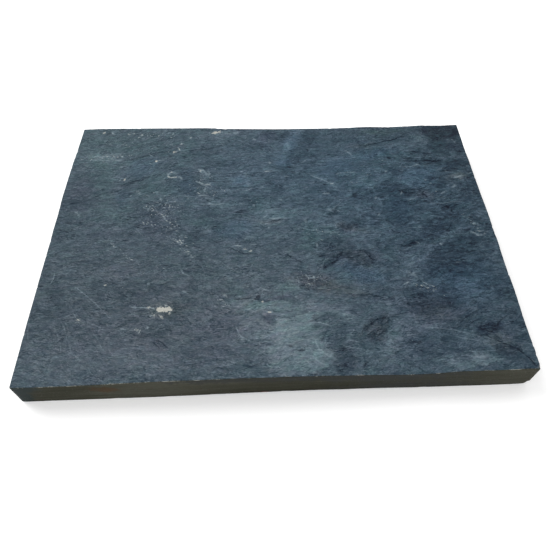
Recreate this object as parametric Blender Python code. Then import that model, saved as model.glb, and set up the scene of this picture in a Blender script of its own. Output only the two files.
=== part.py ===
# Phyllite stepping stone: one slab split from its bed along the cleavage, with four sawn sides.
#
# Metres, +Z up. The stone lies flat with its length along X. The origin is on the ground, in the
# middle of its footprint. The upper and lower faces are natural cleft: they roll a little, and
# thin flakes stand up from them or have come away. The stone rests on the high spots underneath.

import math

import bmesh
import bpy
from mathutils import Vector, noise

MM = 0.001

# Driving dimensions
THICKNESS = 27.6 * MM
BACK_LEFT = Vector((-200.7, 147.1)) * MM
BACK_RIGHT = Vector((201.5, 145.3)) * MM
FRONT_LEFT = Vector((-201.1, -147.1)) * MM
FRONT_RIGHT = Vector((198.6, -142.8)) * MM

# The saw wandered on the short sides: both bow out, and the left one runs in near the back
LEFT_BOW = 0.6 * MM
RIGHT_BOW = 0.8 * MM
LEFT_RUN_IN = 1.4 * MM
RUN_IN_FROM = 0.5

# How many cells the mesh has along the length, the depth and the height
CELLS_LONG = 60
CELLS_DEEP = 44
CELLS_HIGH = 2

# Rolling of both cleft faces, and the smaller lumps on it, drawn out along the grain
ROLL_SIZE = 46 * MM
ROLL_HEIGHT = 0.35 * MM
LUMP_SIZE = 15 * MM
LUMP_HEIGHT = 0.26 * MM
LUMP_STRETCH = 2.2

# Crenulation: low parallel folds that cross the right half on the diagonal
FOLD_SPACING = 37 * MM
FOLD_HEIGHT = 0.25 * MM
FOLD_TURN = math.radians(45)
FOLD_FADE = (0.0 * MM, 80 * MM)

# A flake's edge wanders by this share of its size, over stretches of this length
FLAKE_RAGGED = 0.22
FLAKE_RAG_SIZE = 17 * MM
FLAKE_EDGE = 5 * MM

# The hollows underneath start this far above the plane that the stone rests on
PAD_LEVEL = 0.45 * MM

# Broad rises and hollows of the upper face: middle, reach each way, height. Millimetres.
UPPER_SWELLS = {
    "front hump": ((-30, -150), (75, 60), 1.8),
    "front dip": ((96, -150), (34, 55), -2.3),
    "front left dip": ((-165, -150), (42, 50), -1.5),
    "front right rise": ((192, -150), (16, 30), 0.9),
    "right rise": ((205, 10), (40, 60), 1.1),
    "right low": ((205, -110), (40, 40), -0.5),
    "left rise": ((-205, 38), (45, 35), 0.9),
    "back left rise": ((-130, 150), (70, 45), 0.8),
    "back dip": ((30, 150), (85, 60), -1.6),
    "back right rise": ((200, 150), (42, 40), 1.2),
    "middle hollow": ((55, 25), (70, 45), -0.7),
    "left middle rise": ((-85, -10), (60, 50), 0.5),
}

# Flakes of the upper face: middle, reach along and across, turn in degrees, height. Millimetres.
UPPER_FLAKES = {
    "back left sheet": ((-190, 120), (150, 70), 27, 0.6),
    "back right sheet": ((118, 147), (50, 26), 10, 0.45),
    "right corner sheet": ((214, -96), (62, 36), -30, 0.5),
    "arrowhead": ((64, -47), (26, 23), 0, -0.8),
    "right tongue": ((115, 34), (22, 27), 0, -0.6),
    "short tongue": ((73, 11), (15, 9), 15, -0.5),
    "middle lens": ((-38, 5), (25, 11), 8, 0.45),
    "front centre sheet": ((9, -98), (32, 25), 20, 0.5),
    "front left sheet": ((-100, -139), (31, 14), 0, 0.35),
    "hatched pit": ((78, -107), (16, 9), 35, -0.8),
    "left pit": ((-97, -115), (12, 8), -30, -0.6),
    "front scab": ((147, -142), (14, 10), 10, 0.5),
    "right scar": ((150, -35), (28, 19), 40, -0.55),
    "back scar": ((10, 108), (14, 26), -20, -0.45),
}

# Broad hollows of the lower face: middle, reach each way, depth. Millimetres.
LOWER_HOLLOWS = {
    "front arch": ((25, -152), (92, 36), 2.9),
    "back arch": ((-40, 152), (62, 22), 2.1),
    "left arch": ((-208, -30), (26, 44), 1.7),
    "right arch": ((206, 42), (24, 46), 1.9),
    "back right hollow": ((112, 84), (50, 30), 1.8),
    "left hollow": ((-118, 62), (46, 32), 1.6),
    "front left hollow": ((-82, -72), (44, 22), 1.3),
    "front right hollow": ((128, -62), (30, 40), 1.5),
}

# Flakes that came away from the lower face: middle, reach along and across, turn, depth.
LOWER_FLAKES = {
    "back left scar": ((-168, 112), (38, 24), -25, 1.1),
    "middle scar": ((38, 62), (44, 20), 12, 0.9),
    "front left scar": ((-150, -108), (36, 20), 20, 1.0),
    "right scar": ((172, -12), (24, 30), 0, 1.2),
    "front scar": ((48, -88), (38, 16), -8, 0.9),
}

# Corners knocked off: which corner of the block, and how far the break runs along X, Y and Z
CORNER_BREAKS = {
    "front left, top": ((-1, -1, 1), Vector((8.6, 4.2, 1.9)) * MM),
    "front right, top": ((1, -1, 1), Vector((3.4, 4.6, 2.0)) * MM),
    "front right, bottom": ((1, -1, -1), Vector((4.3, 4.0, 6.2)) * MM),
    "back left, top": ((-1, 1, 1), Vector((2.2, 5.5, 2.4)) * MM),
}

COLOUR = (0.064, 0.088, 0.110, 1.0)
ROUGHNESS = 0.6
SHARP_ANGLE = math.radians(35)


def ramp(value, low, high):
    """0 below low and 1 above high, with a smooth rise between them."""
    t = min(max((value - low) / (high - low), 0.0), 1.0)
    return t * t * (3.0 - 2.0 * t)


def swell(x, y, at, reach, height):
    """The height, at x and y, of a broad rise or hollow."""
    dx = (x / MM - at[0]) / reach[0]
    dy = (y / MM - at[1]) / reach[1]
    return height * MM * math.exp(-dx * dx - dy * dy)


def flake(x, y, at, reach, turn, height):
    """The height, at x and y, of a ragged oval sheet with a steep edge."""
    dx = x / MM - at[0]
    dy = y / MM - at[1]
    cos, sin = math.cos(math.radians(turn)), math.sin(math.radians(turn))
    along = (dx * cos + dy * sin) / reach[0]
    across = (dy * cos - dx * sin) / reach[1]
    wander = noise.noise(Vector((x / FLAKE_RAG_SIZE, y / FLAKE_RAG_SIZE, at[0])))
    away = math.hypot(along, across) + FLAKE_RAGGED * wander
    half_edge = 0.5 * FLAKE_EDGE / MM / min(reach)
    return height * MM * (1.0 - ramp(away, 1.0 - half_edge, 1.0 + half_edge))


def rolling(x, y, level):
    """Noise that both cleft faces carry. The level keeps the two faces apart."""
    roll = noise.noise(Vector((x / ROLL_SIZE, y / ROLL_SIZE, level)))
    lump = noise.noise(Vector((x / LUMP_SIZE / LUMP_STRETCH, y / LUMP_SIZE, level)))
    return ROLL_HEIGHT * roll + LUMP_HEIGHT * lump


def folds(x, y):
    """Low diagonal folds, which fade out towards the left."""
    across = x * math.sin(FOLD_TURN) - y * math.cos(FOLD_TURN)
    wander = noise.noise(Vector((x / ROLL_SIZE, y / ROLL_SIZE, 9.0)))
    wave = math.sin(2.0 * math.pi * (across / FOLD_SPACING + 0.5 * wander))
    return FOLD_HEIGHT * wave * ramp(x, *FOLD_FADE)


def upper_face(x, y):
    """Height of the upper cleft face above the ground."""
    z = THICKNESS + rolling(x, y, 0.0) + folds(x, y)
    z += sum(swell(x, y, *shape) for shape in UPPER_SWELLS.values())
    return z + sum(flake(x, y, *shape) for shape in UPPER_FLAKES.values())


def lower_face(x, y):
    """Height of the lower cleft face: 0 on the pads, and a little more in the hollows."""
    hollow = sum(swell(x, y, *shape) for shape in LOWER_HOLLOWS.values())
    hollow += sum(flake(x, y, *shape) for shape in LOWER_FLAKES.values())
    roughness = rolling(x, y, 5.0) * ramp(hollow, 0.0, 2.0 * PAD_LEVEL)
    return max(hollow - PAD_LEVEL + roughness, 0.0)


def outline(u, v):
    """The place in plan of a point given by its shares of the length and the depth, -1 to 1."""
    back = BACK_LEFT.lerp(BACK_RIGHT, (u + 1.0) / 2.0)
    front = FRONT_LEFT.lerp(FRONT_RIGHT, (u + 1.0) / 2.0)
    place = front.lerp(back, (v + 1.0) / 2.0)
    bow = 1.0 - v * v
    left = LEFT_RUN_IN * ramp(v, RUN_IN_FROM, 1.0) - LEFT_BOW * bow
    right = RIGHT_BOW * bow
    place.x += left * (1.0 - u) / 2.0 + right * (1.0 + u) / 2.0
    return place


def block():
    """A cube from -1 to 1, cut into cells all round as one closed shell."""
    bm = bmesh.new()
    bmesh.ops.create_cube(bm, size=2.0)
    for axis, cells in enumerate((CELLS_LONG, CELLS_DEEP, CELLS_HIGH)):
        running = []
        for edge in bm.edges:
            start, end = (vert.co for vert in edge.verts)
            if abs(start[axis] - end[axis]) > 1.0:
                running.append(edge)
        bmesh.ops.subdivide_edges(bm, edges=running, cuts=cells - 1, use_grid_fill=True)
    return bm


def shape_slab(bm):
    """Move the block's points onto the sawn outline and between the two cleft faces."""
    for vert in bm.verts:
        u, v, w = vert.co
        x, y = outline(u, v)
        low = lower_face(x, y)
        high = upper_face(x, y)
        vert.co = (x, y, low + (high - low) * (w + 1.0) / 2.0)


def break_corner(bm, sides, legs):
    """Cut a corner away along the plane through the ends of its three legs, and close the cut."""
    x, y = outline(sides[0], sides[1])
    z = upper_face(x, y) if sides[2] > 0 else lower_face(x, y)
    corner = Vector((x, y, z))
    inward = Vector([-side * leg for side, leg in zip(sides, legs)])
    ends = [corner + Vector([inward[i] if i == axis else 0.0 for i in range(3)]) for axis in range(3)]
    outward = (ends[1] - ends[0]).cross(ends[2] - ends[0]).normalized()
    if outward.dot(corner - ends[0]) < 0.0:
        outward.negate()
    everything = bm.verts[:] + bm.edges[:] + bm.faces[:]
    cut = bmesh.ops.bisect_plane(
        bm, geom=everything, dist=1e-7, plane_co=ends[0], plane_no=outward, clear_outer=True
    )
    rim = [item for item in cut["geom_cut"] if isinstance(item, bmesh.types.BMEdge)]
    bmesh.ops.holes_fill(bm, edges=rim, sides=0)


def stone_material():
    """Blue-grey phyllite with a dull, faintly silky cleft."""
    material = bpy.data.materials.new("phyllite")
    material.use_nodes = True
    material.diffuse_color = COLOUR
    shader = material.node_tree.nodes["Principled BSDF"]
    shader.inputs["Base Color"].default_value = COLOUR
    shader.inputs["Roughness"].default_value = ROUGHNESS
    shader.inputs["Metallic"].default_value = 0.0
    return material


def stepping_stone(collection):
    """The whole stone, which is one solid."""
    bm = block()
    shape_slab(bm)
    for sides, legs in CORNER_BREAKS.values():
        break_corner(bm, sides, legs)
    bmesh.ops.triangulate(bm, faces=bm.faces[:])
    bmesh.ops.recalc_face_normals(bm, faces=bm.faces[:])
    mesh = bpy.data.meshes.new("phyllite_slab")
    bm.to_mesh(mesh)
    bm.free()
    mesh.materials.append(stone_material())
    mesh.shade_smooth()
    mesh.set_sharp_from_angle(angle=SHARP_ANGLE)
    stone = bpy.data.objects.new("phyllite_slab", mesh)
    collection.objects.link(stone)
    return stone


def main():
    for old in list(bpy.data.objects):
        bpy.data.objects.remove(old, do_unlink=True)
    collection = bpy.data.collections.new("phyllite_stepping_stone")
    bpy.context.scene.collection.children.link(collection)
    stepping_stone(collection)


main()
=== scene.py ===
import math

import bmesh
import bpy
import numpy as np
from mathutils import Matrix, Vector, noise


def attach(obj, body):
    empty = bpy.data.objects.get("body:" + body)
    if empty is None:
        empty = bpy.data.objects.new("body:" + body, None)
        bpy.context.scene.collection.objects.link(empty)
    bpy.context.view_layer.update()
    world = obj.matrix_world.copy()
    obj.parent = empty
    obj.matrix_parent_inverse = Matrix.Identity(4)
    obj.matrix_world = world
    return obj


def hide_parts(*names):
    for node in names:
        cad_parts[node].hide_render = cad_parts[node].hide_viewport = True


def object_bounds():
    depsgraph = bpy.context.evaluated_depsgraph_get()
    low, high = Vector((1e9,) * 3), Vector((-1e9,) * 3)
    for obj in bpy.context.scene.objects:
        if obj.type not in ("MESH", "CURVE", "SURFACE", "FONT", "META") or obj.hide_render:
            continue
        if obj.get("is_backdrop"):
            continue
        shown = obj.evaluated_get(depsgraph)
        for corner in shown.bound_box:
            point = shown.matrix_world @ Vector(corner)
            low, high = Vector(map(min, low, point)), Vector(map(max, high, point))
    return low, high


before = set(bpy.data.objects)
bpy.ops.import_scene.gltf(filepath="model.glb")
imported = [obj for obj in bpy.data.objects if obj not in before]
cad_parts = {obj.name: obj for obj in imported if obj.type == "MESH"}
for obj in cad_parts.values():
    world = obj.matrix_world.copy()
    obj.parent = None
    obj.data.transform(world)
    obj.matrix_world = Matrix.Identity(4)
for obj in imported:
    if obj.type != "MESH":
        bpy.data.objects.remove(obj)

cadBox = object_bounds()
mm = 0.001

# Phyllite stepping stone: one split slab with four sawn sides, on a pale floor.
# Lengths are in millimetres, turns in degrees counter-clockwise, seen from above with the back edge up.
stone = {
    "thickness": 27.6,
    "backLeft": (-200.7, 147.1),
    "backRight": (201.5, 145.3),
    "frontLeft": (-201.1, -147.1),
    "frontRight": (198.6, -142.8),
    "leftBow": 0.6,
    "rightBow": 0.8,
    "leftRunIn": 1.4,
    "runInFrom": 0.5,
    "cells": (80, 60, 12),  # along, deep, high; the upper face gets four times as many each way
    "halvedAbove": (0.3, 0.6),
    "halfLength": 201.0, "halfDepth": 146.0,  # the cells draw together towards the rim, from even to drawn
    "evenCells": (0.0, 1.25, 2.5, 3.75, 5.0, 12.5, 202.0),
    "drawnCells": (0.0, 0.3, 0.85, 1.75, 3.0, 11.6, 202.0),
    "rowShares": (0.0, 0.03, 0.1, 0.22, 0.36, 0.5, 0.64, 0.77, 0.87, 0.94, 0.975, 0.99, 1.0),
    "rollSize": 46, "rollHeight": 0.35,
    "lumpSize": 15, "lumpHeight": 0.26, "lumpStretch": 2.2,
    "foldSpacing": 37, "foldHeight": 0.25, "foldTurn": 45, "foldFade": (0, 80),
    "flakeRagged": 0.22, "flakeRagSize": 17, "flakeEdge": 2.4,
    "middleRough": 0.75,
    "sheetSteps": 2.6, "sheetEdge": 0.72,
    # thin sheets, and grit: height, size, place in the noise, stretch
    "thinSheets": ((0.16, 13.0, 21.0, 2.4), (0.09, 5.5, 23.0, 2.6)),
    "grit": (0.07, 2.8, 25.0, 1.8),
    "grooveReach": 1.0, "ledgeReach": 6.0, "fullCrack": 0.35,
    "leastPit": 1.2,
    "padLevel": 0.45,
    "sawnIn": 0.105,  # how far the sawn sides lie inside the outline, in the middle of their wander
    "arrisRadius": (0.35, 0.95),  # least and most rounding of the top edge
    "arrisWander": (30.0, 75.0),
    "arrisChips": ((0.9, 7.0, 71.0, 0.28, 0.62), (0.35, 2.6, 73.0, 0.25, 0.6)),
    "otherWear": 0.7,  # pale wear along the arrises at the back and the sides
    "farOutside": -30.0,
}

# The bake map: the length, depth and height it lays out, its scale, the gaps, and the room for the underside
stone["bakeMap"] = {"sizes": (402.0, 292.0, 28.0), "scale": 0.0021, "gap": 0.006, "under": (0.31, 0.225)}

# Broad rises and hollows of the upper face: middle, reach each way, height
stone["upperSwells"] = {
    "front hump": ((-30, -150), (75, 60), 1.8),
    "front dip": ((96, -150), (34, 55), -2.3),
    "front left dip": ((-165, -150), (42, 50), -1.5),
    "front right rise": ((192, -150), (16, 30), 0.9),
    "right rise": ((205, 10), (40, 60), 1.1),
    "right low": ((205, -110), (40, 40), -0.5),
    "left rise": ((-205, 38), (45, 35), 0.9),
    "back left rise": ((-130, 150), (70, 45), 0.8),
    "back dip": ((30, 150), (85, 60), -1.6),
    "back right rise": ((200, 150), (42, 40), 1.2),
    "middle hollow": ((55, 25), (70, 45), -0.7),
    "left middle rise": ((-85, -10), (60, 50), 0.5),
}

# Flakes of the upper face: middle, reach along and across, turn, height
stone["upperFlakes"] = {
    "back left sheet": ((-190, 120), (150, 70), 27, 0.6),
    "back right sheet": ((118, 147), (50, 26), 10, 0.45),
    "right corner sheet": ((214, -96), (62, 36), -30, 0.5),
    "arrowhead": ((64, -47), (26, 23), 0, -0.8),
    "right tongue": ((115, 34), (22, 27), 0, -0.6),
    "short tongue": ((73, 11), (15, 9), 15, -0.5),
    "middle lens": ((-38, 5), (25, 11), 8, 0.45),
    "front centre sheet": ((9, -98), (32, 25), 20, 0.5),
    "front left sheet": ((-100, -139), (31, 14), 0, 0.35),
    "hatched pit": ((78, -107), (16, 9), 35, -0.8),
    "left pit": ((-97, -115), (12, 8), -30, -0.6),
    "front scab": ((147, -142), (14, 10), 10, 0.5),
    "right scar": ((150, -35), (28, 19), 40, -0.55),
    "back scar": ((10, 108), (14, 26), -20, -0.45),
}

# Underside: broad hollows, and flakes that came away
stone["lowerHollows"] = {
    "front arch": ((25, -152), (92, 36), 2.9),
    "back arch": ((-40, 152), (62, 22), 2.1),
    "left arch": ((-208, -30), (26, 44), 1.7),
    "right arch": ((206, 42), (24, 46), 1.9),
    "back right hollow": ((112, 84), (50, 30), 1.8),
    "left hollow": ((-118, 62), (46, 32), 1.6),
    "front left hollow": ((-82, -72), (44, 22), 1.3),
    "front right hollow": ((128, -62), (30, 40), 1.5),
}
stone["lowerFlakes"] = {
    "back left scar": ((-168, 112), (38, 24), -25, 1.1),
    "middle scar": ((38, 62), (44, 20), 12, 0.9),
    "front left scar": ((-150, -108), (36, 20), 20, 1.0),
    "right scar": ((172, -12), (24, 30), 0, 1.2),
    "front scar": ((48, -88), (38, 16), -8, 0.9),
}

# Corners knocked off: which corner, and how far the break runs along X, Y and Z
stone["cornerBreaks"] = {
    "front left, top": ((-1, -1, 1), (4.2, 2.0, 0.9)),
    "front right, top": ((1, -1, 1), (3.4, 4.6, 2.0)),
    "front right, bottom": ((1, -1, -1), (4.3, 4.0, 6.2)),
    "back left, top": ((-1, 1, 1), (0.9, 1.6, 0.9)),
}

# Lighter and darker stretches of the upper face: x, y, reach along, reach across, turn, amount
stone["toneClouds"] = [
    # the whole slab: the darker right side and the paler front middle are partly the stone's own tone and
    # partly painted shade and painted sheen
    (194, 0, 90, 190, 0, -8), (-172, 101.5, 32, 7.5, -3, 9.5), (10, -108, 34, 36, -20, 11),
    (-12, -82, 40, 9, 0, 5), (140, 75, 70, 60, 0, -3), (140, -60, 70, 60, 0, -2.5),
    (-140, -50, 70, 60, 0, -2.5), (-110, 70, 90, 60, 0, -1.5), (0, 70, 70, 60, 0, -2.5),
    (75, 85, 45, 35, 0, -2.5), (-195, -40, 30, 70, 0, -2),
    # and where single parts of it are darker or paler
    (66, 131, 70, 13, 0, -7), (55, 108, 30, 10, 0, -5), (196, 70, 13, 66, 0, -7), (170, 50, 12, 9, 0, -7),
    (-182, 70, 16, 12, 0, -7), (-80, 30, 17, 11, 0, -7), (104, -18, 20, 18, 10, -6),
    (49, 50, 12, 11, 0, -6), (90, 12, 11, 9, 0, -5), (32, 92, 12, 11, 0, -6), (161, 91, 10, 4, 0, -6),
    (133.5, 38.6, 5, 3.2, 0, 7), (2, -68, 44, 9, 0, 7.5), (130, -112, 13, 12, 0, -6),
    (-60, 130, 28, 12, 0, 5), (-108, -112, 12, 10, 0, 5), (31, -110, 9, 9, 0, 5), (70, -131, 12, 9, 0, 5),
    (192, -18, 10, 18, 0, 7), (130, 130, 16, 12, 0, -4), (90, 50, 12, 10, 0, 4),
]

# Smaller lighter and darker patches with broken borders: same layout
stone["patchClouds"] = [
    # pale patch at the front
    (-14, -81, 34, 6, -3, 13), (13, -98, 21, 9, 15, 18), (23, -103, 8, 8, 0, 9), (4, -111, 21, 8, 8, 17),
    (9, -121, 27, 7, 8, 13), (31, -121, 11, 10, 50, 20), (12, -133, 28, 11, 0, 14), (31, -131, 9, 6, 20, 8),
    (-23, -101, 13, 12, 0, 10), (49, -130, 9, 11, 0, -15), (37, -84, 15, 5, -10, 13),
    (55, -91, 6, 5, 0, 12), (-9, -94, 2.6, 6, -60, -9), (17.5, -121.6, 4.5, 2, 12, -14),
    (9.5, -119.3, 2.6, 1.6, 0, -10), (42, -110, 12, 8, 30, -11), (38, -93, 13, 2.5, 20, -10),
    (2, -74, 16, 3, -3, -8), (11, -64, 8, 5, 0, 7), (-27, -65, 11, 4, 5, -4), (52, -82, 12, 4, 5, 6),
    # front right
    (80, -104, 15, 8, 40, -7), (95, -110, 26, 9, 52, 11), (113, -120, 17, 10, -50, -7),
    (107, -117, 4.5, 3, 50, -9), (148, -134, 20, 7, 4, 15), (168, -107.5, 11, 4.5, 5, -19),
    (181, -128, 12, 7, -20, -11), (190, -128, 12, 14, 0, -4), (128, -78, 20, 15, 0, -13),
    (111, -76, 5, 12, 10, -6), (152, -97, 12, 6, 33, -9), (93, -84, 14, 8, 0, 5), (165, -70, 9, 14, 20, 6),
    (190, -74, 9, 5, 0, -9), (194, -98, 8, 20, 0, -4.5), (62, -118, 14, 6, 30, -5),
    (120, -103, 14, 4, -10, 4.5), (157, -115, 16, 3, -12, 6), (100, -99, 8, 5, 0, 6), (66, -66, 9, 4, 5, 6),
    # right
    (163, -32, 34, 20, 35, -11), (122, -18, 7, 4, 10, -13), (118, 24, 15, 20, 0, -11),
    (150, 1, 28, 8, 32, -11.5), (136, -26, 46, 4.5, 36, 9.5), (113, -55, 12, 9, 35, 6),
    (112, -40, 10, 22, 0, 3.5), (98, -8, 20, 14, 0, 3), (168, 25, 11, 6, 15, -13), (189, 2, 10, 8, 0, -6.5),
    (197, 18, 7, 6, 0, 11.5), (180, 40, 18, 7, 10, -5),
    # arrowhead and the ground before it
    (71, -29, 17, 10, -30, -11), (50, -17, 9, 7, 0, -13), (51, -34, 14, 3.2, 38, -16),
    (43, -38, 9, 2.5, 42, 8), (86, -22, 18, 3, -50, 9), (46, -60, 14, 10, 0, -4), (33, -57, 18, 11, 0, -6),
    (75, -52, 22, 12, 0, 2),
    # middle
    (-5, 17, 13, 9, 0, 12), (24, 20, 22, 9, 5, 7), (48, 12, 14, 10, 0, 6), (30, 2, 10, 5, 30, 6),
    (-30, 24, 7, 4, 20, -10), (-14, 42, 9, 4, 10, -7), (-48, 6, 12, 6, 30, -7), (-27, 5, 20, 8, 8, 4),
    (72, 6, 12, 4, 10, -8), (52, 18, 7, 3, 20, -12), (-30, 66, 14, 9, 0, 12), (-36, 51, 30, 3.5, 3, 9),
    (-50, 34, 14, 4, 0, 9), (-16, 80, 30, 3.5, 4, 8), (4, 57, 9, 8, 0, -9), (-22, 41, 8, 5, 0, -11),
    (-10, -45, 40, 22, 0, 3), (-24, 100, 30, 12, 0, 3), (-70, -8, 14, 7, -45, -7), (0, -20, 12, 5, 0, -4),
    (-28, -32, 10, 4, 5, -7),
    # back
    (18, 119, 5, 11, -10, 12), (23, 132, 6, 18, -18, 7), (37, 124, 6, 24, -16, -9),
    (25, 101, 7, 15, -18, -9), (15, 80, 7, 12, -15, -8), (8, 98, 7, 11, 10, 6), (5, 137, 14, 9, 0, -8),
    (-45, 92, 26, 4.5, 8, -8), (-20, 117, 18, 5, 10, -6), (-66, 115, 14, 5, 20, -6),
    (-58, 138, 12, 6, 0, 6), (-38, 139, 9, 5, 0, 8),
    # back right
    (60, 93, 20, 7, 18, 5), (79, 103, 9, 5, -45, 8), (106, 97, 15, 8, 20, 4), (98, 66, 18, 11, 28, 6),
    (133, 115, 15, 9, 0, 5), (156, 120, 12, 12, 0, 7), (161, 77, 22, 5, 20, 10), (125, 88, 20, 5, -8, 4),
    (184, 136, 24, 13, 0, -23), (177, 112, 12, 12, 0, -13.5), (193, 112, 9, 11, 0, -7),
    (158, 91, 20, 3.5, -4, -13), (184, 83, 16, 5, 18, -14.5), (184, 67, 15, 3.5, 14, 10),
    (176, 52, 9, 4, 42, 7), (142, 66, 16, 11, 25, 7), (131, 47, 13, 5, -18, -11),
    (113, 52, 12, 12, 10, -11), (136, 59, 12, 6, -10, 5), (123, 75, 6, 4, 0, -6), (86, 44, 12, 9, 0, -10),
    (61, 34, 28, 3.5, 48, 10), (53, 64, 20, 3.2, -35, 10), (69, 69, 9, 4, -22, -10), (84, 84, 8, 6, 0, -7),
    (170, 62, 12, 7, 40, -7.5), (150, 103, 18, 3, -8, -7.5), (193, 97, 8, 8, 0, 4),
    # left
    (-188, 46, 20, 20, 0, -5), (-190, 8, 14, 24, 0, -5), (-119, 24, 14, 7, -20, -9),
    (-104, 31, 15, 6, -25, -6), (-108, 12, 22, 13, -15, -5), (-148, -1, 18, 6, 0, -4),
    (-130, 87, 18, 8, 8, 3), (-82, 62, 12, 18, 0, -8), (-125, -44, 26, 12, 0, 4),
    (-185, -76, 15, 16, 0, -6), (-80, -90, 14, 20, 0, -4), (-96, -112, 14, 8, -25, -8),
    (-103, -127, 30, 12, -8, 7), (-165, -130, 34, 13, 0, 3), (-176, 45, 24, 2.4, 20, -7),
    (-125, 102, 24, 2.2, 10, -6), (-75, 105, 22, 2.4, 12, -7), (-45, 120, 22, 2.4, 14, -6),
    (-22, 101, 26, 2.2, 6, -6), (5, 69, 20, 2.2, 3, -6), (-62, 20, 15, 2.6, 10, -6),
    (-100, 129, 18, 2, 8, -6), (-60, 84, 16, 2, 4, -6), (-35, 57, 14, 2, 5, -5), (-110, 58, 16, 8, 15, -5),
    (-60, -110, 24, 26, 0, 1), (-150, -57, 5, 8, 0, -7), (-30, -95, 7, 12, 0, 3),
    (-133, 69, 21, 2.4, 27, -10), (-104, 109, 6, 2, 10, -9), (-85, 83, 9, 1.6, 0, -8),
    (-125, -65, 30, 16, 0, -3.5),
]

# Where the blue grey leans to teal (positive) or to violet (negative): same layout
stone["tealClouds"] = [
    (-160, 120, 64, 30, 0, 2.8), (-168, 72, 14, 32, 15, 3), (-150, 26, 24, 12, 0, 3),
    (-9, -94, 4, 6, 0, -5), (78, -105, 12, 7, 40, -2), (-114, 58, 20, 22, -40, 3),
    (-88, 108, 8, 24, -8, 2.5), (-70, 12, 24, 6, -20, 3), (32, -8, 12, 17, 0, 4.5), (54, -2, 13, 7, -45, 3),
    (-14, 34, 14, 12, 0, 2), (10, 20, 20, 6, 5, 2), (-10, -80, 30, 6, -3, 2.4), (15, -102, 20, 16, 15, 2.6),
    (2, -74, 14, 3, 0, -4), (11, -64, 8, 5, 0, 1.5), (34, -125, 9, 12, 40, 1.5), (12, -135, 22, 8, 0, 2),
    (10, -62, 9, 6, 0, 2.5), (-38, -62, 6, 10, 10, 2), (122, 137, 22, 5, 0, 3.5), (173, 110, 6, 20, -12, 3),
    (92, 68, 24, 14, 40, 1.5), (122, 98, 22, 9, 20, 2), (98, -27, 6, 9, 0, 2.5), (143, -136, 8, 7, 0, 1),
    (163, -130, 6, 5, 0, 1), (93, -110, 8, 6, 0, 2.5), (-186, 55, 12, 15, 0, -4),
    (-108, 12, 20, 26, -15, -3), (-150, 0, 16, 6, 0, -3), (-130, -42, 24, 8, 0, -2),
    (-120, -110, 90, 32, 0, -2.4), (-48, -105, 22, 36, 0, -2.4), (-4, 130, 9, 14, -35, -4.5),
    (-100, -68, 24, 10, 0, -2), (128, -88, 26, 18, 20, -3.6), (50, -130, 10, 10, 0, -3),
    (168, -107, 11, 5, 5, -3), (140, -70, 60, 60, 0, -1), (-130, -60, 80, 60, 0, -0.8),
    (110, -118, 16, 12, 0, -2), (72, -31, 20, 12, 0, -3), (70, 3, 9, 7, 0, -4),
    (30, -55, 18, 10, -10, -3.5), (165, 137, 7, 7, 0, -4), (190, 116, 8, 8, 0, -2.5),
    (120, 28, 7, 12, 0, -2), (-185, 32, 12, 5, 0, -3), (145, 42, 8, 6, 0, -2.5), (180, -118, 12, 14, 0, -2),
]

# Where it is bluer (positive) or greyer and browner (negative): same layout
stone["blueClouds"] = [
    (20, 80, 120, 80, 10, 4.8), (140, 40, 90, 80, 20, 4.0), (150, -60, 90, 120, 0, 2.6),
    (-120, -90, 130, 80, 0, -2.0), (184, 136, 26, 14, 0, -2), (128, -84, 20, 16, 0, -1.5),
    (145, -135, 24, 9, 0, -1.5), (50, -130, 10, 10, 0, -1), (80, -104, 12, 8, 45, -3),
    (65, 84, 22, 13, 35, 3), (108, 103, 26, 7, 15, 4), (146, 68, 16, 14, 30, 6), (160, 78, 18, 6, 20, 4),
    (22, 124, 8, 22, -15, 4), (11, 92, 9, 10, 0, 4), (-30, 66, 9, 7, 0, 4), (-130, 86, 20, 12, 30, 4),
    (72, -49, 22, 10, -22, 6), (160, -60, 34, 22, 0, 5), (118, 30, 9, 20, 0, 3), (-38, 1, 20, 9, 10, 4),
    (-143, 45, 6, 12, 0, 3), (-82, 62, 12, 18, 0, 3), (30, -56, 20, 9, -10, -3), (72, -31, 18, 8, -35, -4),
    (70, 4, 16, 5, -25, -6), (182, 66, 12, 5, 15, -7), (145, 42, 12, 5, -10, -5), (-70, 64, 6, 24, 20, -3),
    (-5, 13, 12, 3, 0, -4), (118, 138, 26, 5, 0, -3), (95, 116, 14, 3, 5, -4), (-92, -82, 16, 8, 0, -3),
    (176, -119, 14, 9, -30, -4), (130, -90, 18, 12, 0, -3), (55, -66, 24, 6, -10, -4),
]

# Where small pale flecks crowd: same layout, amount 0 to 1
stone["fleckClouds"] = [
    (-160, 122, 50, 26, 0, 0.32), (-105, 22, 30, 26, -40, 0.5), (-110, 120, 30, 26, 0, 0.22),
    (-170, 101, 26, 7, 0, 0.62), (-85, -12, 16, 14, -50, 0.6), (-95, 45, 40, 25, 0, 0.3),
    (-60, 62, 22, 28, 0, 0.5), (-10, -20, 50, 30, 0, 0.3), (30, -54, 20, 10, 0, 0.6),
    (40, -2, 24, 12, 0, 0.4), (124, -66, 16, 8, 0, 0.6), (185, 10, 12, 20, 0, 0.4),
    (-110, -48, 40, 14, 0, 0.35), (100, 75, 30, 30, 0, 0.25), (-5, 130, 20, 12, 0, 0.4),
    (165, 50, 20, 20, 0, 0.3), (-45, -76, 10, 7, 0, 0.5), (100, -110, 20, 16, 0, 0.3),
]

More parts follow.
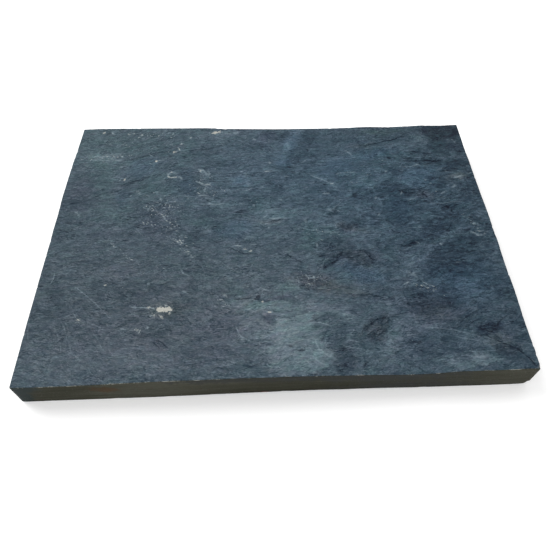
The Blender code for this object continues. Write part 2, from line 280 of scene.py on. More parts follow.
# Where the cleft is rough and lumpy (positive) or smooth (negative): same layout
stone["roughClouds"] = [
    (150, 20, 80, 120, 0, 0.5), (80, -105, 18, 10, 45, 0.6), (68, -33, 20, 12, -12, 0.5),
    (30, -56, 20, 12, 0, 0.5), (75, 8, 18, 12, 0, 0.4), (12, -100, 28, 20, 30, -0.5),
    (14, -134, 28, 12, 0, -0.4), (-28, 4, 22, 10, 8, -0.4), (-130, -125, 50, 16, 0, -0.3),
    (23, 125, 16, 26, -16, -0.5), (145, -138, 24, 9, 0, -0.3), (155, 115, 20, 14, 0, -0.5),
    (-105, 20, 24, 20, -40, 0.4), (-130, 84, 20, 10, 25, -0.4), (145, 66, 14, 12, 30, -0.5),
    (120, 48, 26, 12, -20, 0.4), (75, 85, 45, 30, 0, -0.45),
]

# Where the cleft is silky, with long fine threads along the grain: same layout
stone["silkClouds"] = [
    (-110, 95, 110, 70, 0, 1.0), (0, 90, 80, 60, 0, 0.9), (-20, 12, 50, 24, 0, 0.9),
    (120, 70, 80, 50, 0, 0.55), (10, -104, 34, 34, 0, 0.9), (-110, 30, 50, 20, 0, 0.6),
    (150, -10, 60, 60, 0, 0.4), (60, -95, 30, 20, 20, 0.5),
]

# Where fine strokes cross the grain, falling or climbing to the right: same layout
stone["steepLeftClouds"] = [(-150, -95, 60, 60, 0, 1.0), (-80, -40, 30, 30, 0, 0.5)]
stone["steepRightClouds"] = [
    (140, 0, 70, 110, 0, 0.6), (60, 60, 50, 50, 0, 0.5), (90, -110, 40, 30, 0, 0.6),
]

# Cracks and ledges, drawn dark with painted shade along them: the points they pass, half width, depth, and
# how much higher the left side is
stone["darkLines"] = [
    ([(86, 116), (100, 116.6), (108, 118.5), (117, 121.4), (128, 123), (135, 127),
      (140, 129)], 0.6, 0.35, 0.45),
    ([(146, 104.5), (154, 103.6), (160, 101.4), (166, 101)], 0.8, 0.3, 0.2),
    ([(128, 106), (131, 105), (134, 103.4)], 0.7, 0.3, 0.1),
    ([(126, 94.5), (132, 91.6), (140, 91.2), (150, 91), (158, 91.5), (166, 90),
      (174, 90.5)], 0.7, 0.3, 0.3),
    ([(118.5, 97.5), (120.5, 96.6), (122.5, 95.4)], 1.2, 0.6, 0.0),
    ([(125, 59), (126.5, 57)], 0.9, 0.4, 0.0),
    ([(126, 47.6), (129, 47.8), (133, 46), (137, 46.6)], 0.8, 0.5, 0.3),
    ([(144, 45.4), (146, 43.4), (148.5, 40)], 0.8, 0.4, 0.0), ([(102, 41.8), (108, 41.4)], 0.6, 0.2, 0.2),
    ([(143.5, 34), (147, 34.6)], 0.8, 0.4, 0.0),
    ([(164, 27), (166.5, 25), (170, 26), (174, 29), (180, 29.4)], 1.0, 0.5, 0.2),
    ([(167.6, 22), (168.6, 19)], 1.0, 0.5, 0.0), ([(180, 13), (184, 12), (186, 9.6)], 0.7, 0.3, 0.1),
    ([(117.5, -19), (121, -18), (124.6, -15.8), (127, -18)], 0.9, 0.35, 0.3),
    ([(150, -7.6), (156, -4.6), (161, -0.6), (163, 4)], 0.6, 0.25, 0.3),
    ([(150, -8.4), (158, -8.6), (165, -8)], 0.5, 0.2, 0.2),
    ([(107, 0), (110, -3.4), (116, -5.6)], 0.7, 0.3, 0.2),
    ([(41.6, -43), (46, -38.6), (51.6, -36), (55, -31.4), (60, -26.6)], 0.8, 0.22, 0.5),
    ([(78.6, -24), (81.6, -29), (84.6, -33.4), (88, -37)], 0.7, 0.24, -0.5),
    ([(38, -30), (43, -29), (47, -28)], 0.7, 0.3, 0.2),
    ([(45.6, -24), (48.6, -19), (52, -12)], 0.8, 0.2, 0.2),
    ([(9, -26), (14, -29.8), (19, -33.8), (24.6, -37.6)], 0.6, 0.3, 0.4),
    ([(-42, -17.4), (-37, -20.6), (-31, -24.4), (-26, -26), (-19, -25.4)], 0.55, 0.3, 0.4),
    ([(-59, -8), (-54, -11), (-50, -14)], 0.4, 0.2, 0.2),
    ([(-34, -73.8), (-27, -73.6), (-21, -72.4), (-16, -74.6)], 0.7, 0.3, 0.3),
    ([(-16, -75.6), (-13.6, -69.6)], 1.0, 0.3, 0.0),
    ([(58, -69), (66, -71.8), (78, -71.2), (87, -74.4), (97, -76), (99, -79)], 0.5, 0.25, 0.3),
    ([(93, -92.4), (101, -90.2), (108.6, -88.6)], 0.6, 0.3, -0.3),
    ([(66, -108), (69, -103), (76, -98), (83, -94), (88, -92.6), (91, -96), (93, -99)], 0.5, 0.2, 0.3),
    ([(70, -110), (77, -104.6), (83, -101)], 0.5, 0.3, 0.1),
    ([(72, -114), (80, -109), (86, -104.6)], 0.5, 0.3, 0.1),
    ([(163, -112), (172, -117), (180, -122), (186, -125.6), (191, -132), (195.6, -139.6)], 0.7, 0.4, -0.4),
    ([(178.6, -122), (183, -123.4), (185.6, -125.6)], 1.0, 0.4, 0.0),
    ([(176, -104), (178, -101.4), (181, -98.4), (185, -96)], 0.9, 0.5, 0.3),
    ([(-200, 34.6), (-190, 38), (-181, 40), (-172, 44.6), (-165, 51), (-152, 54)], 0.5, 0.2, 0.3),
    ([(-150, 58.6), (-143, 63.4), (-137, 67), (-129, 69), (-121, 74.6), (-110, 77)], 0.9, 0.2, 0.3),
    ([(-157, 55), (-150, 54.6), (-146, 56)], 0.8, 0.2, 0.2),
    ([(-107, 109), (-103, 109), (-98, 111)], 0.7, 0.2, 0.2),
    ([(-150, 97), (-140, 99), (-130, 102.6), (-120, 107), (-112, 109.4), (-104, 110)], 0.8, 0.22, 0.2),
    ([(-118, 127), (-108, 129), (-97, 133)], 0.7, 0.15, 0.2),
    ([(-88, 111), (-76, 112), (-66, 113.6), (-58, 116.4), (-51, 120)], 0.9, 0.24, 0.2),
    ([(-48, 124), (-38, 126), (-28, 131)], 0.7, 0.15, 0.2),
    ([(-12, 136), (-2, 137.6), (10, 140)], 0.7, 0.15, 0.2),
    ([(-60, 107), (-48, 110), (-36, 111.6), (-14, 113)], 0.5, 0.12, 0.15),
    ([(-5, 11.6), (0, 12.8), (4, 14), (9, 14.8)], 0.7, 0.4, 0.35),
    ([(-58, 1.6), (-52, 8), (-45, 13.6), (-36, 17), (-26, 19.4)], 0.5, 0.1, -0.3),
    ([(-36, 24), (-30, 26.6), (-26, 25)], 0.7, 0.3, 0.1),
    ([(44, 18.6), (49, 17), (56, 17.4)], 0.6, 0.2, 0.3),
    ([(51, 22), (56, 25.4), (60, 29.6), (67, 37.6)], 0.5, 0.15, 0.3),
    ([(19, 34.8), (24, 33.2), (30, 34)], 0.4, 0.15, 0.1), ([(31, 52), (34, 49)], 0.8, 0.2, 0.0),
    ([(51, 52), (54, 50)], 0.7, 0.2, 0.0),
    ([(-98, -58), (-94, -56.4), (-90, -54.6), (-86, -56)], 0.7, 0.25, 0.2),
    ([(-100, -111), (-95, -115), (-91, -119)], 0.5, 0.3, 0.1),
    ([(-96, -109), (-90, -114), (-86, -118)], 0.5, 0.3, 0.1),
    ([(14, -123), (18, -121.6), (20, -122.4)], 0.9, 0.3, 0.0),
    ([(8, -119.4), (11.6, -119.2)], 0.8, 0.2, 0.0),
    ([(63.6, -137.6), (66, -135), (68.6, -131.6)], 0.7, 0.3, 0.1),
    ([(70, -141), (74, -136), (79, -130.6)], 0.5, 0.2, 0.3),
    ([(102, -136), (107, -139), (112, -143)], 0.6, 0.25, 0.3),
    ([(4, -64), (4.6, -69), (5, -72), (14, -73.6)], 0.5, 0.15, 0.1),
    ([(24, -62), (27, -66)], 0.8, 0.25, 0.0), ([(150, -86), (160, -84), (170, -80)], 0.5, 0.15, 0.2),
    ([(138, -44), (142, -50), (147, -54)], 0.6, 0.2, 0.2), ([(190, -72), (197, -72)], 0.9, 0.3, 0.0),
    ([(168, 74.6), (176, 76), (180, 75)], 0.9, 0.4, 0.1), ([(176, 63), (182, 61.6)], 0.8, 0.3, 0.0),
    ([(-188, -124), (-180, -121), (-172, -119.6)], 0.4, 0.1, 0.2),
    ([(-26, -128), (-22, -131), (-17, -134)], 0.5, 0.15, 0.1),
    ([(110, -78), (108, -81), (111, -84)], 0.8, 0.3, 0.1),
    ([(107, -63), (105.6, -68), (106.4, -74), (109, -79)], 0.6, 0.12, -0.5),
    ([(98, -134), (102, -136.6), (105, -139)], 0.6, 0.3, -0.4),
    ([(46, -122), (53, -121.4)], 0.7, 0.25, 0.3), ([(22, -97.6), (28, -96), (34, -93.4)], 0.6, 0.25, 0.2),
    ([(146, -101), (152, -96), (160, -91), (167, -88)], 0.6, 0.25, 0.3),
    ([(150, -105), (157, -100), (164, -97)], 0.6, 0.25, 0.2),
    ([(160, -104.6), (168, -103.6), (175, -104.4)], 0.6, 0.3, 0.3),
    ([(100, 52), (101, 58), (108, 61.6), (117, 64.6), (124, 60), (127, 54)], 0.5, 0.14, 0.4),
    ([(128, 52), (134, 50), (142, 50.4), (150, 53)], 0.7, 0.3, 0.3),
    ([(117, 77.6), (123, 78.6), (130, 77)], 0.6, 0.25, 0.2),
    ([(128, 84), (136, 84.6), (142, 83.6)], 0.5, 0.2, -0.2),
    ([(78, 113), (84, 114), (90, 116)], 0.6, 0.2, 0.3),
    ([(150, 32), (160, 33), (170, 34)], 0.4, 0.15, -0.2),
    ([(92, -92.6), (98, -91.4), (105, -89.6), (112, -88)], 0.6, 0.25, 0.3),
    ([(80, -75.6), (88, -76.4), (98, -77.6)], 0.7, 0.25, 0.2),
]

# Pale strokes: the points they pass, half width, and how pale they are, 0 to 1
stone["paleLines"] = [
    ([(-181, 103.2), (-172, 103), (-163, 103.8)], 1.1, 0.3),
    ([(-179, 98.6), (-168, 97.4), (-158, 97.8), (-151, 96.4)], 0.9, 0.42),
    ([(-172, 106.4), (-160, 106.8), (-149, 107)], 0.7, 0.3),
    ([(-170, -57), (-158, -67), (-147, -77.4), (-137, -87.6)], 0.5, 0.38),
    ([(-176, -88), (-170, -98), (-166, -108)], 0.4, 0.3), ([(-171, -109), (-169, -119)], 0.4, 0.35),
    ([(-163, -111), (-161, -118), (-152, -126)], 0.4, 0.35), ([(-145, -104), (-135, -120)], 0.4, 0.3),
    ([(-141, -113), (-134, -118.6)], 0.4, 0.38), ([(-200, -92), (-196.6, -108)], 0.45, 0.3),
    ([(-190, -125), (-174, -123.6), (-160, -119.6)], 0.6, 0.3), ([(-148, -94), (-139, -100)], 0.5, 0.38),
    ([(-180, -92), (-174, -104), (-170, -106)], 0.4, 0.28), ([(-146, -132), (-138, -142)], 0.4, 0.25),
    ([(-132, -124), (-120, -125), (-114, -131)], 0.4, 0.28), ([(-9, 23), (-4, 26.6), (4, 28.2)], 0.7, 0.4),
    ([(8, 22.6), (20, 21)], 0.5, 0.3), ([(-189.6, -42), (-189.2, -48), (-190.8, -54)], 0.5, 0.5),
    ([(-181, -93), (-173, -107), (-169, -116)], 0.4, 0.22),
    ([(-164, -113), (-160, -120), (-153, -127)], 0.5, 0.28),
    ([(-190, -125), (-177, -122.6), (-165, -120)], 0.4, 0.22), ([(-196, -33), (-183, -40)], 0.5, 0.25),
    ([(-160, -41), (-148, -50), (-142, -56)], 0.4, 0.25), ([(-149, -94), (-137, -100)], 0.4, 0.22),
    ([(-150, -112), (-134, -119)], 0.4, 0.22), ([(-64, -26), (-50, -35), (-38, -40)], 0.5, 0.25),
    ([(-60, -31), (-50, -39)], 0.4, 0.22), ([(38, 72.6), (45, 68.4), (52, 64.8), (57, 61)], 0.75, 0.42),
    ([(62.6, 73), (67, 75), (72, 76), (81, 75.2)], 0.75, 0.4),
    ([(76, 109), (79.4, 105), (83, 100.6)], 1.0, 0.42), ([(30, 91), (33.4, 94), (36.4, 97)], 0.8, 0.38),
    ([(-34, -100), (-31.6, -106), (-29, -110), (-22, -113.6)], 0.55, 0.5),
    ([(-33, -109.6), (-30, -112), (-25, -114)], 0.5, 0.4), ([(-10, 24), (-2, 27.6), (8, 28.6)], 0.5, 0.3),
    ([(-7, 14.4), (2, 15.8), (11, 16)], 0.7, 0.55), ([(52, 23), (59, 29.8), (65, 36)], 0.8, 0.3),
    ([(-30, 51.6), (-25, 52.6), (-20, 55.6)], 0.55, 0.6),
    ([(-126, -99.4), (-119, -100.6), (-115, -101)], 0.5, 0.4),
    ([(-120, -79), (-110, -79.6), (-100, -80.8)], 0.6, 0.55),
    ([(-80, -64.4), (-77, -65), (-74.4, -67)], 0.8, 0.55), ([(-93, -77.4), (-90.6, -79.6)], 0.6, 0.5),
    ([(-98, 79.8), (-101.4, 79.4), (-103.8, 76.4), (-103, 73), (-99.6, 71.8), (-95, 72.4), (-91, 72.4),
      (-89.6, 69.6)], 1.1, 0.74),
    ([(-98, 79.6), (-95, 77.4)], 0.6, 0.35), ([(-73.6, 83.4), (-70.6, 80.4)], 1.1, 0.8),
    ([(-73, 81), (-69.6, 77.4)], 0.8, 0.7), ([(-70, 83), (-66.6, 78.4)], 0.8, 0.6),
    ([(-68, 80), (-64.6, 75.4)], 1.0, 0.7), ([(-65.6, 78), (-63, 73.2)], 1.0, 0.65),
    ([(-63.4, 80), (-61.6, 75.4)], 0.7, 0.5), ([(-67, 76), (-64.6, 73)], 0.7, 0.5),
    ([(-76, 65.6), (-71, 63.6), (-66, 61)], 0.8, 0.45), ([(-68, 60.4), (-62, 60.6)], 1.0, 0.7),
    ([(-68, 54), (-66, 51.6)], 0.7, 0.65), ([(-72, 47), (-64, 46.6)], 0.8, 0.45),
    ([(-87, 46.6), (-81, 46)], 0.9, 0.45), ([(-66, 43), (-58, 42)], 0.6, 0.35),
    ([(-97, 116), (-94, 110)], 0.7, 0.75), ([(-126, 107), (-124, 104), (-121, 102)], 0.7, 0.5),
    ([(-116, 95.4), (-110, 97)], 1.0, 0.5), ([(-124, 93), (-121, 90)], 0.6, 0.5),
    ([(-168.6, 140.6), (-165, 137)], 1.0, 0.7), ([(-193.6, 58.4), (-188, 60)], 0.7, 0.5),
    ([(-150.6, 58.6), (-146, 57.4)], 0.8, 0.5), ([(-164, 98.6), (-152, 96.6)], 0.9, 0.4),
    ([(-186, 98), (-178, 97.6)], 0.7, 0.35), ([(-176, 103), (-171, 101)], 1.0, 0.4),
    ([(-103, 36.4), (-96, 34.6)], 0.5, 0.45), ([(-102.6, 20), (-100.6, 16)], 0.8, 0.65),
    ([(-148, 5), (-141, 5)], 0.6, 0.45), ([(-183, 8), (-175, 10.6)], 0.8, 0.35),
    ([(17.4, 123.6), (18, 117)], 1.1, 0.7), ([(17, 126), (18.4, 112)], 2.0, 0.25),
    ([(-8, 79), (-2, 78.8)], 0.9, 0.7), ([(-4, 79.4), (3, 79.4)], 0.8, 0.4),
    ([(11, 71.4), (16, 71)], 0.6, 0.45), ([(49, 46.4), (55, 46.6)], 0.6, 0.5),
    ([(-9, 8.6), (-6, 9.8)], 0.9, 0.65), ([(-38, -16.8), (-34, -16.2), (-29, -16.8)], 0.85, 0.65),
    ([(-23, -15.6), (-17, -15.2)], 0.8, 0.55), ([(-14, -15.8), (-10, -15.2)], 0.6, 0.35),
    ([(-52, -8), (-40, -8.6)], 0.6, 0.3), ([(-29.6, -38.2), (-25, -38.8)], 0.8, 0.5),
    ([(-34.6, -72), (-30, -71)], 0.9, 0.45), ([(-12.6, -63.4), (-9, -65), (-5, -66.6)], 0.7, 0.6),
    ([(24.6, -50.8), (34, -50.6)], 0.5, 0.45), ([(27.6, -53.6), (33, -53)], 0.6, 0.6),
    ([(18.4, -54), (19, -59.6)], 0.8, 0.5), ([(-9, -87), (-4.6, -87.6)], 1.0, 0.95),
    ([(2, -89.4), (6, -90)], 0.7, 0.45), ([(-8, -105), (-4, -107)], 0.6, 0.4),
    ([(97, 36.6), (99.4, 42)], 0.9, 0.45), ([(123.6, 43.4), (125.4, 48)], 0.8, 0.5),
    ([(97.6, 17), (99.4, 20)], 1.0, 0.5), ([(129, 36), (133, 38), (137, 38.4)], 0.9, 0.4),
    ([(144.6, 85), (149, 85.6)], 0.9, 0.5), ([(130, 75), (133, 80)], 0.6, 0.3),
    ([(180, 64.6), (184, 66), (190, 68)], 1.2, 0.6), ([(195, 70), (200, 72)], 0.8, 0.4),
    ([(175.6, 51.4), (179.4, 55)], 1.4, 0.5), ([(161, 43.6), (165, 44.6), (169, 48)], 0.8, 0.48),
    ([(193, 116.4), (194, 119)], 0.9, 0.45), ([(190.4, 122.4), (191.8, 120)], 0.9, 0.4),
    ([(178.6, -5.6), (181.6, -7), (184, -9.4), (189, -9.6)], 1.3, 0.6),
    ([(157.6, -39.6), (162, -39)], 0.7, 0.42), ([(126.6, -15), (129.6, -17.4), (129.4, -20)], 0.7, 0.42),
    ([(113, -53.6), (116.6, -51.4), (119.6, -49.6)], 1.1, 0.45),
    ([(107.6, -62), (110.6, -60.6), (113, -59)], 0.9, 0.45),
    ([(124, -59), (127.6, -62.6), (132, -64)], 0.7, 0.55), ([(116, -42), (121, -38)], 0.9, 0.3),
    ([(-82, -42), (-80, -46), (-74, -49)], 0.8, 0.55), ([(-97, -44), (-94.6, -49)], 0.6, 0.35),
    ([(-86, -36), (-82, -38)], 0.6, 0.3), ([(-167, -83), (-164, -86)], 0.6, 0.35),
    ([(92, -92.8), (100, -91.6)], 0.5, 0.3), ([(-60, 133), (-50, 128)], 0.7, 0.25),
    ([(-53, 124), (-50, 119)], 0.8, 0.4), ([(193, -135.6), (198, -137)], 0.8, 0.4),
    ([(143, 30), (151, 31.6), (163, 31), (172, 32.6), (182, 32.4)], 0.6, 0.3),
    ([(65, 75), (74, 76), (83, 76)], 0.8, 0.35),
    ([(108, -101), (122, -104), (138, -106.4), (152, -110.6), (172, -117.4)], 0.6, 0.32),
    ([(140, -113), (152, -116), (164, -119)], 0.6, 0.25),
    ([(112, -48), (116, -50.6), (120, -55)], 1.2, 0.45), ([(-60, -30.6), (-55, -33)], 0.5, 0.4),
    ([(-56, -32), (-50, -36)], 0.5, 0.4), ([(-52, -31.6), (-46, -35)], 0.5, 0.35),
    ([(-47, -36), (-40, -40)], 0.5, 0.4), ([(30, -97.6), (36, -98.6), (42, -101)], 0.7, 0.5),
    ([(54, -113.4), (60, -115), (66, -116)], 0.5, 0.45), ([(50, -119), (58, -120.6), (66, -122)], 0.5, 0.4),
    ([(28, -112), (29.6, -118), (31, -124)], 0.8, 0.4), ([(26, -128), (30, -133), (36, -136)], 0.7, 0.35),
    ([(148, -131), (154, -131.6), (160, -131)], 1.2, 0.45), ([(153, -138.6), (158, -137)], 1.3, 0.5),
    ([(-73, 46), (-68, 46.6), (-63, 46)], 0.8, 0.6), ([(-75, 32), (-71, 33)], 0.8, 0.5),
    ([(-61, 35), (-55, 34), (-47, 35.6)], 1.3, 0.42), ([(-34, 35), (-28, 35.4)], 0.6, 0.4),
    ([(-76, 66.4), (-70.4, 63.4), (-66, 61), (-60.6, 63)], 0.9, 0.65), ([(-66, 61), (-66, 53)], 1.0, 0.55),
    ([(-41, 30), (-37, 30)], 0.6, 0.4), ([(-58, 52), (-50, 52)], 0.6, 0.35),
    ([(-114, 51.6), (-109, 51.4)], 1.2, 0.5), ([(-170, 36), (-150, 34)], 0.4, 0.2),
    ([(-166, 31), (-146, 31)], 0.4, 0.2), ([(-139, 32), (-132, 33)], 0.6, 0.4),
    ([(-186, 28), (-183, 24), (-180, 22)], 0.8, 0.5), ([(-8, 18), (-10, 16.6)], 1.1, 0.5),
    ([(-15, 24.6), (-6, 26.4), (4, 28.6)], 0.6, 0.3), ([(5, 41), (8, 38)], 0.8, 0.4),
    ([(28, 14), (29.4, 9.6)], 1.1, 0.4), ([(36, 36), (41, 32)], 0.6, 0.3),
    ([(50, 27), (56, 25)], 1.2, 0.35), ([(60, 25), (62, 23)], 0.8, 0.45),
    ([(46, -2), (54, -2.6), (61, -1.6)], 1.2, 0.35), ([(36, -14.6), (38, -17), (37, -19.6)], 0.8, 0.45),
    ([(-6, 5), (-4, 4)], 1.0, 0.5), ([(80, -3), (90, -3), (100, -4)], 0.6, 0.3),
    ([(118, 0), (128, 1), (136, 2)], 0.6, 0.3), ([(112, -26), (122, -21), (131, -20)], 0.8, 0.25),
    ([(164, 76), (170, 79), (176, 82)], 0.7, 0.3), ([(128, 83), (138, 82.4), (146, 83.6)], 0.6, 0.35),
]

# Trails of flecks: the points they pass, how thickly they lie, how far they stray
stone["fleckTrails"] = [
    ([(-146, -11), (-139, -18), (-130, -27), (-119, -35)], 1.0, 1.5),
    ([(-96, -9), (-87, -11), (-82, -20), (-72, -28)], 0.95, 2.2),
    ([(-120, 32), (-112, 27), (-103, 21), (-97, 14), (-90, 7)], 0.92, 4.0),
    ([(-129, 4), (-115, -5)], 0.9, 1.6), ([(-120, 12), (-104, 8), (-88, 4)], 0.72, 5.0),
    ([(-186, 30), (-180, 20)], 0.85, 2.0), ([(108, -60), (134, -66)], 0.85, 3.2),
    ([(22, -50), (40, -56)], 0.9, 3.2), ([(-48, -74), (-40, -80)], 0.8, 3.0),
    ([(-150, 138), (-100, 134)], 0.75, 5.0), ([(-180, 128), (-140, 118)], 0.65, 7.0),
    ([(-70, 84), (-64, 44)], 0.7, 5.0), ([(28, 6), (58, -6)], 0.6, 6.0),
    ([(-130, 52), (-104, 36)], 0.7, 5.0), ([(178, 14), (192, -8)], 0.75, 5.0),
    ([(-30, 40), (4, 36)], 0.5, 6.0), ([(76, 62), (116, 90)], 0.45, 9.0),
    ([(-124, -48), (-92, -40)], 0.55, 5.0),
]

# Single flecks: x, y, reach along, reach across, turn, how pale
stone["flecks"] = [
    (148.8, -19, 1.1, 1.2, 0, 0.6), (58, 60.6, 1.7, 1.1, 0, 0.65), (49.4, 47, 1.6, 0.9, 0, 0.5),
    (53.6, 46.8, 1.6, 0.9, 0, 0.5), (-95.6, -81.8, 4.2, 2.4, -8, 1.0), (-89, -82.4, 3.4, 1.9, -12, 1.0),
    (-92, -82.9, 2.8, 1.5, 0, 1.0), (-88.4, -80.6, 2.2, 0.9, 10, 0.95), (-87.4, -85.6, 0.9, 1.4, 20, 0.9),
    (-92, -78.2, 1.9, 0.9, -40, 0.7), (-106, -80.2, 1.5, 1.0, 0, 0.8), (-102.2, -80.4, 1.6, 1.0, 0, 0.65),
    (-100, -86.6, 1.6, 1.0, -30, 0.8), (-94, -89.2, 2.5, 0.9, -48, 0.85), (-102.4, -88.6, 1.2, 0.9, 0, 0.6),
    (-161.4, -89.8, 1.6, 1.1, -20, 0.9), (-112.6, -101, 2.6, 0.9, -18, 0.8),
    (-110.2, -102.6, 1.7, 0.9, -45, 0.7), (-104.4, -99.8, 1.1, 1, 0, 0.6),
    (-59.4, 139.6, 3.4, 1.9, 12, 0.95), (-56, 141.4, 2.4, 1.2, 30, 0.9), (-61, 137.8, 1.8, 1.0, -10, 0.8),
    (-54.2, 139.4, 1.8, 1.0, -20, 0.8), (-64, 139.4, 1.8, 1.0, 0, 0.5), (-52, 141, 1.4, 1.0, 0, 0.5),
    (-45, 138, 3.4, 1.5, 0, 0.45), (-38, 139.8, 3.2, 2, 0, 0.45), (-117.4, 94.4, 1.6, 1.4, 0, 0.95),
    (-100.6, 108.4, 1.2, 1.6, 0, 0.9), (-98.2, 109.2, 1, 1.2, 0, 0.7), (-93.4, 120.4, 1.1, 1.6, 0, 0.7),
    (-176, 139.4, 1.9, 1.4, 30, 0.8), (-136, 136, 1.3, 1.8, 0, 0.7), (-138.8, 132.2, 1.3, 1.1, 0, 0.7),
    (-133.8, 130.4, 1.2, 1.2, 0, 0.5), (-142.4, 127.6, 1.1, 1.2, 0, 0.45), (-112, 142, 2.4, 1.2, 0, 0.45),
    (-103.6, 137, 1.1, 1.9, 20, 0.6), (-108, 138.6, 1.1, 1.6, 0, 0.5), (-84.6, 130.2, 1.3, 1.2, 0, 0.7),
    (-144.8, 69.8, 1.1, 1.6, 0, 0.85), (-151, 67.4, 1.3, 1, 0, 0.5), (-152.4, 102.8, 1.5, 1.4, 0, 0.65),
    (-151, 88, 1.9, 1.2, -20, 0.4), (-199.4, 110.6, 1.1, 1.7, 0, 0.6), (-120, 116.8, 1.5, 1, 0, 0.4),
    (-137, 46.8, 1.2, 1.2, 0, 0.5), (-107.4, 42, 1.5, 1.4, 0, 0.6), (-118, 30.4, 1.4, 1.7, 0, 0.5),
    (-99.4, 20.6, 1.3, 1.1, 0, 0.55), (-2, 92.8, 1.4, 1.7, 0, 0.6), (-17.6, 129, 1.7, 1.4, 0, 0.5),
    (-26.6, 132, 1.1, 1.5, 0, 0.4), (-30, 79, 1.1, 1.4, 0, 0.4), (-27, 76.6, 1.2, 1.1, 0, 0.5),
    (-10, 57, 1.7, 1.1, 0, 0.5), (-18.6, 32, 1.5, 1.8, 0, 0.45), (7, 39.6, 1.4, 1.2, -40, 0.4),
    (-26.8, -21, 1.9, 0.8, -15, 0.8), (-22.4, -22.4, 1.6, 0.8, -20, 0.75), (38, -16.4, 1.3, 1.2, 0, 0.4),
    (-43.4, -69, 1.5, 1.1, 0, 0.65), (-12.2, -76, 1, 1, 0, 0.85), (15.6, -72.4, 1.1, 1.1, 0, 0.5),
    (114, 76, 1.3, 1.4, 0, 0.55), (152, 63, 1.3, 1.1, 0, 0.5), (155.6, 57.8, 1.2, 1.1, 0, 0.4),
    (174.6, 75, 1.2, 1.4, 0, 0.5), (184.4, 3.6, 1.2, 1.1, 0, 0.6), (197, 81, 1.1, 1.1, 0, 0.4),
    (150, -19, 1.1, 1, 0, 0.4), (126, -36, 1.3, 1, 0, 0.4), (131, -68, 1.1, 1.1, 0, 0.4),
    (29.6, -80.4, 1.1, 1, 0, 0.4), (-144.4, -56.8, 1.1, 1, 0, 0.8), (-107.6, -56, 1.4, 1, 0, 0.45),
    (52.8, 26.6, 1.7, 1.4, 0, 0.35), (28.6, 12.6, 1.3, 1.7, 0, 0.35), (-182, -37.6, 1.4, 1.1, 0, 0.4),
    (-172.4, 127.4, 1.4, 1.1, 0, 0.35), (-168.4, 122.2, 1.4, 1.2, 0, 0.35),
]
